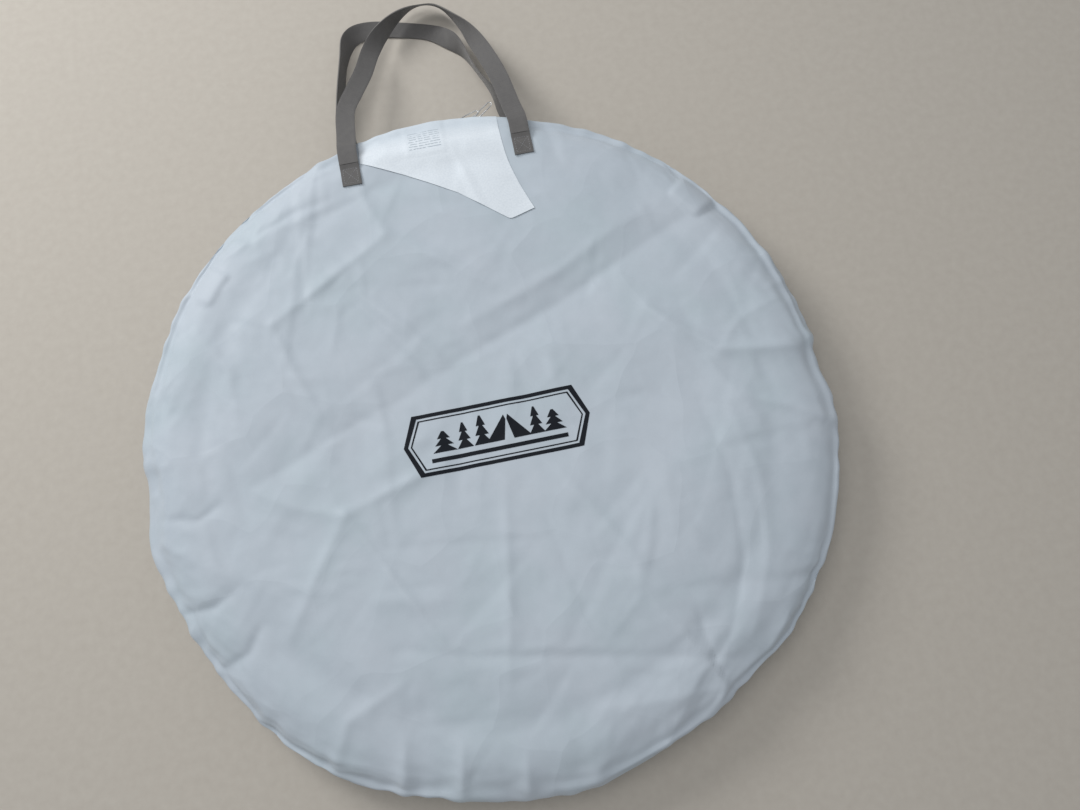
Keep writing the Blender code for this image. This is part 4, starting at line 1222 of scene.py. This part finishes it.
def frame_line(outer, slant, width):
    """Closed six-sided line: its half length and half height, the slant of its ends and its width."""

    def ring(inset):
        long = outer[0] - inset * 1.15
        high = outer[1] - inset
        tip = long - slant
        return ((-long, 0), (-tip, high), (tip, high), (long, 0), (tip, -high), (-tip, -high))

    big, small = ring(0), ring(width)
    for k in range(6):
        after = (k + 1) % 6
        reach = math.dist(big[k], big[after])
        patch((big[after], big[k], small[k], small[after]), max(int(reach / 3), 4), 1)


frame_line((115, 38.5), 15, 4.6)
frame_line((106.5, 31.2), 13.0, 1.5)
for centre, half, high in ((-66, 15, 25), (-41, 10, 31), (-19, 11, 35), (48, 10, 33), (70, 14, 25)):
    base = -12
    for tier in range(3):
        low = base + high * tier / 3
        wide = half * (1 - 0.24 * tier)
        tip = wide * 0.2
        top = low + high * 0.36
        patch(((centre - wide, low), (centre + wide, low), (centre + tip, top), (centre - tip, top)), 6, 4)
for side in (-1, 1):
    corners = ((13 + side * 6, -12), (13 + side * 28, -12), (13 + side * 2.5, 19), (13 + side * 0.7, 13))
    if side < 0:
        corners = (corners[1], corners[0], corners[3], corners[2])
    patch(corners, 8, 10)
patch(((-84, -23.5), (84, -23.5), (84, -18.5), (-84, -18.5)), 52, 1)
mark = join(patches, "printed_mark")
thicken(mark, 0.1 * MM, 1.0)
smooth(mark, 50)
ink, tree, shader = start_material("screen-printed ink, dark navy", 0.6, Specular_IOR_Level=0.15)
grain = node(
    tree, "TexNoise", {"Scale": 900.0, "Detail": 3.0}, Vector=node(tree, "TexCoord").outputs["Object"]
)
tone = two_tones(tree, grain.outputs["Fac"], "#0D1118", "#161B24")
paint(tree, shader, "Base Color", tone.outputs["Color"])
dress(mark, ink)
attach(mark, "bag")
print("printed mark", len(mark.data.polygons), "faces")

# %% [markdown]
# ## The zip
# A coil zip runs round the far half of the rim. Each coil is a spiral of nylon, drawn as one loop
# per turn of 1.5 mm on a woven tape.

# %% Bands that run round the rim
ZIP_RIGHT = math.asin((FOLD_Y + 1.5 * MM) / RIM)
ZIP_LEFT = math.pi - ZIP_RIGHT


def rim_radius(height):
    """The bag's outer radius at a height near its seam."""
    if height > SEAM_HEIGHT:
        share = (height - SEAM_HEIGHT) / (CROWN_HEIGHT - SEAM_HEIGHT)
        return CROWN_RADIUS + CROWN_INSET * math.sqrt(1 - share * share)
    share = (SEAM_HEIGHT - height) / SEAM_HEIGHT
    return FLAT_RADIUS + FLOOR_INSET * math.sqrt(1 - share * share)


def rim_band(name, profile, start, end, thickness, step=math.radians(0.5), offset=0.0, wave=None):
    """A strip that follows a profile of radius and height round the rim, with a flat map."""
    profile = np.array(profile, float)
    columns = max(int((end - start) / step), 3)
    rows = len(profile) - 1
    obj = new_grid(name, columns, rows)
    square = points_of(obj)
    angle = start + (end - start) * (square[:, 0] + 1) / 2
    row = np.rint((square[:, 1] + 1) / 2 * rows).astype(int)
    radius, height = profile[row].T
    if wave is not None:
        radius = radius + wave(angle, row / rows)
    set_points(obj, np.column_stack((np.cos(angle) * radius, np.sin(angle) * radius, height)))
    run = np.concatenate(([0], np.cumsum(np.linalg.norm(np.diff(profile, axis=0), axis=1))))
    lay_uv(obj, np.column_stack((angle * RIM, run[row])))
    if thickness:
        thicken(obj, thickness, offset)
    return smooth(obj, 50)


# %% [markdown]
# ### Zip tape and nylon
# The tape is a flat herringbone weave in a grey close to the cloth's. The coil is bare nylon, a
# little glossier. Both catch a thin line of light along the rim.


# %% Zip materials
def plain_weave(name, low, high, spacing, roughness, sheen=0.15, depth=0.2):
    material, tree, shader = start_material(name, roughness, Specular_IOR_Level=0.35, Sheen_Weight=sheen)
    weave, flat_map = woven(tree, spacing)
    grain = node(tree, "TexNoise", {"Scale": 160.0, "Detail": 5.0}, Vector=flat_map.outputs["UV"])
    mixed = node(
        tree, "Math", {"operation": "MULTIPLY_ADD", 1: 0.45}, _0=weave.outputs[0], _2=grain.outputs["Fac"]
    )
    tone = two_tones(tree, mixed.outputs[0], low, high, 0.35, 0.95)
    paint(tree, shader, "Base Color", tone.outputs["Color"])
    bump = node(tree, "Bump", {"Strength": 0.45, "Distance": depth * MM}, Height=weave.outputs[0])
    paint(tree, shader, "Normal", bump.outputs[0])
    return material


def grained(name, low, high, roughness, metallic=0.0, scale=300.0, spread=0.1, **sockets):
    """A hard material with a fine grain in object space and an uneven shine."""
    material, tree, shader = start_material(name, roughness, metallic, **sockets)
    place = node(tree, "TexCoord").outputs["Object"]
    grain = node(tree, "TexNoise", {"Scale": scale, "Detail": 5.0}, Vector=place)
    tone = two_tones(tree, grain.outputs["Fac"], low, high, 0.3, 0.7)
    paint(tree, shader, "Base Color", tone.outputs["Color"])
    shine = node(
        tree,
        "MapRange",
        {"To Min": roughness - spread, "To Max": roughness + spread},
        Value=grain.outputs["Fac"],
    )
    paint(tree, shader, "Roughness", shine.outputs[0])
    bump = node(tree, "Bump", {"Strength": 0.15, "Distance": 0.1 * MM}, Height=grain.outputs["Fac"])
    paint(tree, shader, "Normal", bump.outputs[0])
    return material


TAPE = plain_weave("woven polyester zip tape", "#A3ACB4", "#C3CBD2", 1.0 * MM, 0.6)
NYLON = grained("moulded nylon zip coil", "#AEB6BD", "#C6CCD2", 0.35)
BINDING = plain_weave("woven seam binding tape", "#A9B2BA", "#C7CED5", 1.1 * MM, 0.65)

# %% Tapes, coils and bindings


def tape_line(edge, way):
    """The tape's side profile, from under the cloth's edge to its coil; way is 1 above and -1 below."""
    return [
        (rim_radius(edge + way * 3 * MM) - 1.3 * MM, edge + way * 3 * MM),
        (rim_radius(edge) - 1.0 * MM, edge),
        (RIM - 0.6 * MM, edge - way * 4 * MM),
        (RIM - 0.4 * MM, SEAM_HEIGHT + way * 2.2 * MM),
    ]


tape_flap = rim_band("zip_tape_upper", tape_line(FLAP_EDGE, 1), ZIP_RIGHT, ZIP_LEFT, 0.6 * MM)
tape_mouth = rim_band("zip_tape_lower", tape_line(MOUTH_EDGE, -1)[::-1], ZIP_RIGHT, ZIP_LEFT, 0.6 * MM)
PITCH = 1.5 * MM


def coil(name, height):
    """Loops of nylon in a row, bent round the rim."""
    start_fresh()
    bpy.ops.mesh.primitive_torus_add(
        major_segments=8, minor_segments=4, major_radius=0.75 * MM, minor_radius=0.34 * MM
    )
    obj = bpy.context.object
    obj.name = name
    sweep = ZIP_LEFT - ZIP_RIGHT - 2 * (3.3 * MM) / RIM
    count = int(sweep * RIM / PITCH)
    add_modifier(
        obj,
        "ARRAY",
        count=count,
        use_relative_offset=False,
        use_constant_offset=True,
        constant_offset_displace=(0, 0, 2.2 * MM),
    )
    place = points_of(obj)
    index = np.rint(place[:, 2] / (2.2 * MM))
    lean = place[:, 2] - index * 2.2 * MM
    angle = ZIP_RIGHT + 3.3 * MM / RIM + (index * PITCH + PITCH / 2 + lean + place[:, 1] * 0.25) / RIM
    radius = RIM - 0.1 * MM + place[:, 0]
    set_points(
        obj, np.column_stack((np.cos(angle) * radius, np.sin(angle) * radius, height + place[:, 1] * 0.92))
    )
    mend(obj, outward=True)
    smooth(obj, 80)
    print(name, count, "loops,", len(obj.data.polygons), "faces")
    return dress(obj, NYLON)


coil_flap = coil("zip_coil_upper", SEAM_HEIGHT + 1.5 * MM)
coil_mouth = coil("zip_coil_lower", SEAM_HEIGHT - 1.5 * MM)
for obj, old, slot_name in (
    (tape_flap, "zip_tape_flap", "zip_tape"),
    (tape_mouth, "zip_tape_mouth", "zip_tape"),
    (coil_flap, "zip_coil_flap", "zip_coil"),
    (coil_mouth, "zip_coil_mouth", "zip_coil"),
):
    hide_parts(old)
    if slot_name == "zip_tape":
        dress(obj, TAPE)
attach(tape_mouth, "bag")
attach(coil_mouth, "bag")


def binding_line(height):
    """Folded tape seen from its end: a narrow U that wraps the raw edges inside the bag."""
    back_edge = rim_radius(height + 1.2 * MM) - 2.3 * MM
    tip = back_edge - 5.6 * MM
    return (
        (back_edge, height + 0.9 * MM),
        (tip + 0.9 * MM, height + 0.95 * MM),
        (tip + 0.2 * MM, height + 0.6 * MM),
        (tip, height),
        (tip + 0.2 * MM, height - 0.6 * MM),
        (tip + 0.9 * MM, height - 0.95 * MM),
        (back_edge, height - 0.9 * MM),
    )


flap_binding = rim_band("flap_binding_tape", binding_line(FLAP_EDGE), ZIP_RIGHT, ZIP_LEFT, 0.35 * MM)
mouth_binding = rim_band("mouth_binding_tape", binding_line(MOUTH_EDGE), ZIP_RIGHT, ZIP_LEFT, 0.35 * MM)
edge_binding = rim_band(
    "edge_binding_tape", binding_line(SEAM_HEIGHT), ZIP_LEFT, ZIP_RIGHT + math.tau, 0.35 * MM
)
for obj, old in (
    (flap_binding, "flap_seam_binding"),
    (mouth_binding, "mouth_seam_binding"),
    (edge_binding, "edge_seam_binding"),
):
    set_points(obj, lobed(points_of(obj)))
    dress(obj, BINDING)
    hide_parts(old)
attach(mouth_binding, "bag")
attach(edge_binding, "bag")

# %% [markdown]
# ## Zip end tabs
# A doubled fold of the bag's cloth is sewn over each end of the zip. It has three parallel folds
# and a rounded upper edge.

# %% Zip end tabs
for side, middle in (("left", ZIP_LEFT + 9.6 * MM / RIM), ("right", ZIP_RIGHT - 9.6 * MM / RIM)):
    half = 9 * MM / RIM
    heights = np.linspace(MOUTH_EDGE + 0.8 * MM, FLAP_EDGE + 0.5 * MM, 13)
    line = [(rim_radius(z) + 1.0 * MM, z) for z in heights]

    def pleats(angle, share, middle=middle, half=half):
        across = (angle - middle) / half
        fold = np.abs(np.cos(across * math.pi * 1.5)) * 1.3 * MM
        return fold * (0.5 + 0.5 * np.sin(math.pi * share)) + 0.5 * MM * (1 - across**2)

    tab = rim_band(
        f"zip_end_fold_{side}", line, middle - half, middle + half, 0.6 * MM, math.radians(0.1), 0.0, pleats
    )
    set_points(tab, lobed(points_of(tab)))
    dress(tab, BAG_CLOTH)
    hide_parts(f"zip_end_tab_{side}")
    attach(tab, "bag")

# %% [markdown]
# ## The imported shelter
# When the flap opens, the folded shelter shows inside two coiled spring hoops: a floor skirt, the
# walls and the roof, each folded to a round pad. A pad is two round sheets joined at their edge,
# with folded leaves that overlap in steps and creases across them.


# %% Folded pads
def folded_pad(name, node_name, seed, step_height, material, rise=0.0):
    low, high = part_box(node_name)
    radius = high.x
    upper = new_grid(name, 120, 120)
    x, y = in_circle(upper)
    share = np.clip(np.hypot(x, y), 0, 1)
    angle = np.arctan2(y, x)
    waves = puckers(angle, math.radians(9.0), seed)
    reach = radius * (1 - 0.010 + 0.008 * waves * share**3)
    crown = np.sqrt(np.clip(1 - share**8, 0, 1))
    draw = np.random.default_rng(seed)
    leaves = np.zeros(len(x))
    for _ in range(6):
        heading = draw.uniform(0, math.tau)
        offset = draw.uniform(-0.15, 0.5)
        edge = x * math.cos(heading) + y * math.sin(heading) - offset - 0.02 * np.sin(7 * x + 5 * y)
        leaves += smoothstep(-0.010, 0.006, edge) * (1 - 0.25 * smoothstep(0, 0.35, edge))
    leaves /= 6
    creases = crumple(x * radius, y * radius, seed + 40, 90, 0.26, 0.014)
    half = (high.z - low.z) / 2
    middle = (high.z + low.z) / 2
    top = middle + crown * (half - step_height + step_height * leaves + creases * 1.5 * MM - 1.2 * MM)
    set_points(
        upper, np.column_stack((x * reach, y * reach, np.minimum(top, high.z) + crown * rise * leaves))
    )
    lay_uv(upper, np.column_stack((x * radius, y * radius)))
    under = new_grid(name + "_under", 120, 120)
    base = middle - crown * (half - 0.3 * MM)
    set_points(under, np.column_stack((x * reach, y * reach, base)))
    lay_uv(under, np.column_stack((x * radius, y * radius)))
    mend(under, flip=True)
    pad = join([upper, under], name)
    mend(pad, merge=0.2 * MM)
    smooth(pad, 60)
    dress(pad, material)
    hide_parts(node_name)
    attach(pad, "bag")
    return pad


SHELTER = coated_cloth("coated polyester, drab olive", "#5E5C4A", "#5A5846", "#62604D", 1.1 * MM, 0.6)
FLOOR_SKIRT = coated_cloth("woven floor cloth, near black", "#2A2B2C", "#252627", "#313233", 1.2 * MM, 0.65)
skirt = folded_pad("folded_skirt_pad", "folded_floor_skirt", 5, 1.5 * MM, FLOOR_SKIRT)
walls = folded_pad("folded_walls_pad", "folded_walls", 6, 2.5 * MM, SHELTER)
roof = folded_pad("folded_roof_pad", "folded_roof", 7, 9 * MM, SHELTER, 5 * MM)

# %% [markdown]
# ## Elastic bands and the peg pouch
# Two sewn elastic bands hold the coiled hoops together. Each is a closed loop of woven elastic
# round both bundles. The pouch for the pegs is a flat tube of cloth, open at one end.

# %% Elastic bands
ELASTIC = webbing("woven elastic, black", "#1B1B1C", "#303031", 1.6 * MM, 1.2 * MM)
for side in ("left", "right"):
    low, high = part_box(f"retaining_band_{side}")
    middle_angle = math.radians(BAND_ANGLES[side])
    corner = 9.6 * MM
    outer_r, inner_r = 404.6 * MM, 385.0 * MM
    top_z, low_z = high.z - 1.2 * MM, low.z + 0.6 * MM
    loop = []
    far_r, near_r = outer_r - corner, inner_r + corner
    high_z, deep_z = top_z - corner, low_z + corner
    for quarter, (r, z) in enumerate(((far_r, high_z), (near_r, high_z), (near_r, deep_z), (far_r, deep_z))):
        for step in range(7):
            bend = math.radians(90 * quarter + 15 * step)
            loop.append((r + corner * math.cos(bend), z + corner * math.sin(bend)))
    loop += loop[:3]
    spots = smooth_route([(r, z, 0) for r, z in loop], 2)
    lap = np.zeros(len(spots))
    lap[-5:] = 0.9 * MM
    r, z = spots[:, 0] + lap * 0.7, spots[:, 1] + lap * 0.3
    middles = np.column_stack((r * math.cos(middle_angle), r * math.sin(middle_angle), z))
    across = np.array((-math.sin(middle_angle), math.cos(middle_angle), 0))
    band = ribbon(f"elastic_band_{side}", middles, np.tile(across, (len(middles), 1)), 25 * MM, 0.9 * MM)
    smooth(band, 50)
    dress(band, ELASTIC)
    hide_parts(f"retaining_band_{side}")
    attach(band, "bag")

# %% Peg pouch
low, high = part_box("peg_pouch")
size = high - low
centre = (low + high) / 2
pouch = new_grid("peg_pouch_cloth", 60, 72)
square = points_of(pouch)
run = (square[:, 0] + 1) / 2
turn = square[:, 1] * math.pi
wide = np.sign(np.cos(turn)) * np.abs(np.cos(turn)) ** 0.33
tall = np.sign(np.sin(turn)) * np.abs(np.sin(turn)) ** 0.33
sewn_flat = smoothstep(0.0, 0.020, run) * 0.88 + 0.12
over_pegs = 1 - 0.10 * (0.5 - 0.5 * np.cos((wide * 2 + 0.5) * math.tau)) * (tall > 0.9)
slack = 1 - 0.06 * np.abs(ripples(run * size.x, wide * size.y / 2, 8, 0.07, 0.015))
place_x = low.x + run * size.x
place_y = centre.y + wide * size.y / 2 * (0.985 + 0.015 * slack)
place_z = centre.z + tall * size.z / 2 * sewn_flat * over_pegs * slack
set_points(pouch, np.column_stack((place_x, place_y, place_z)))
lay_uv(pouch, np.column_stack((place_x, turn / math.tau * 0.128)))
mend(pouch, merge=0.05 * MM, outward=True)
add_modifier(pouch, "SOLIDIFY", thickness=0.4 * MM, offset=-1.0)
smooth(pouch, 50)
dress(pouch, coated_cloth("coated polyester, dark olive", "#48473A", "#414034", "#504F41", 1.1 * MM, 0.6))
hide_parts("peg_pouch")
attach(pouch, "bag")

# %% [markdown]
# ## Metal and rods
# The sliders are die-cast zinc with soft edges. Their pulls and the ferrules are bright wire and
# tube, the pegs are galvanised steel and the hoops are fibreglass rod with a smooth dark surface.

# %% Hard pieces
ZINC = grained("die-cast zinc, dulled", "#8B8D90", "#A9ABAE", 0.38, 1.0, 500.0)
BRIGHT = grained("bright plated steel wire", "#DCDEE0", "#EEEFF0", 0.3, 0.85, 400.0, 0.06)
STEEL = grained("galvanised steel", "#8E9194", "#A7AAAD", 0.42, 1.0, 260.0)
ROD = grained("pultruded fibreglass rod, dark", "#1C1D1E", "#2B2C2D", 0.36, 0.0, 350.0, 0.06)


def finish_node(name, material, edge=0.0, levels=0):
    """Dress a shown node of the solid model, rounding its edges or smoothing its wire."""
    obj = bpy.data.objects[name]
    obj.data.materials.clear()
    obj.data.materials.append(material)
    if edge:
        bevel = obj.modifiers.new("edge", "BEVEL")
        bevel.width = edge
        bevel.segments = 2
        bevel.limit_method = "ANGLE"
        bevel.angle_limit = math.radians(40)
    if levels:
        round_off = obj.modifiers.new("round", "SUBSURF")
        round_off.levels = levels
        round_off.render_levels = levels
    return obj


for side in ("left", "right"):
    finish_node(f"zip_slider_{side}", ZINC, 0.25 * MM)
    finish_node(f"pull_tab_{side}", BRIGHT)
    finish_node(f"zip_stop_{side}", ZINC, 0.2 * MM)


def coiled_hoop(name, node_name, start):
    """Three turns of rod wound into one bundle, as a closed tube."""
    low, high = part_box(node_name)
    tube = new_grid(name, 432, 10)
    square = points_of(tube)
    turn = (square[:, 0] + 1) * math.pi * 3
    round_rod = square[:, 1] * math.pi
    roll = start + turn / 3
    distance = 395 * MM + 6.5 * MM * np.cos(roll) + 2.25 * MM * np.cos(round_rod)
    level = (low.z + high.z) / 2 + 6.5 * MM * np.sin(roll) + 2.25 * MM * np.sin(round_rod)
    set_points(tube, np.column_stack((distance * np.cos(turn), distance * np.sin(turn), level)))
    mend(tube, merge=0.02 * MM, outward=True)
    dress(smooth(tube, 60), ROD)
    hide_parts(node_name)
    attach(tube, "bag")
    return tube


coiled_hoop("coiled_hoop_lower", "spring_hoop_lower", 0.0)
coiled_hoop("coiled_hoop_upper", "spring_hoop_upper", 1.0)
for side in ("lower", "upper"):
    finish_node(f"spring_hoop_ferrule_{side}", STEEL, 0.1 * MM)
for number in range(1, 5):
    finish_node(f"ground_peg_{number}", STEEL, 0, 1)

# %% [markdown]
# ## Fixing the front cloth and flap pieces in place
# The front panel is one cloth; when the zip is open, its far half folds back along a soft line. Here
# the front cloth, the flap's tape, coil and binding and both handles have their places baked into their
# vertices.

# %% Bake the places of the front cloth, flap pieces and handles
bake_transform(front)
for flap_piece in (tape_flap, coil_flap, flap_binding):
    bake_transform(flap_piece)
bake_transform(front_strap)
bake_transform(back_strap)
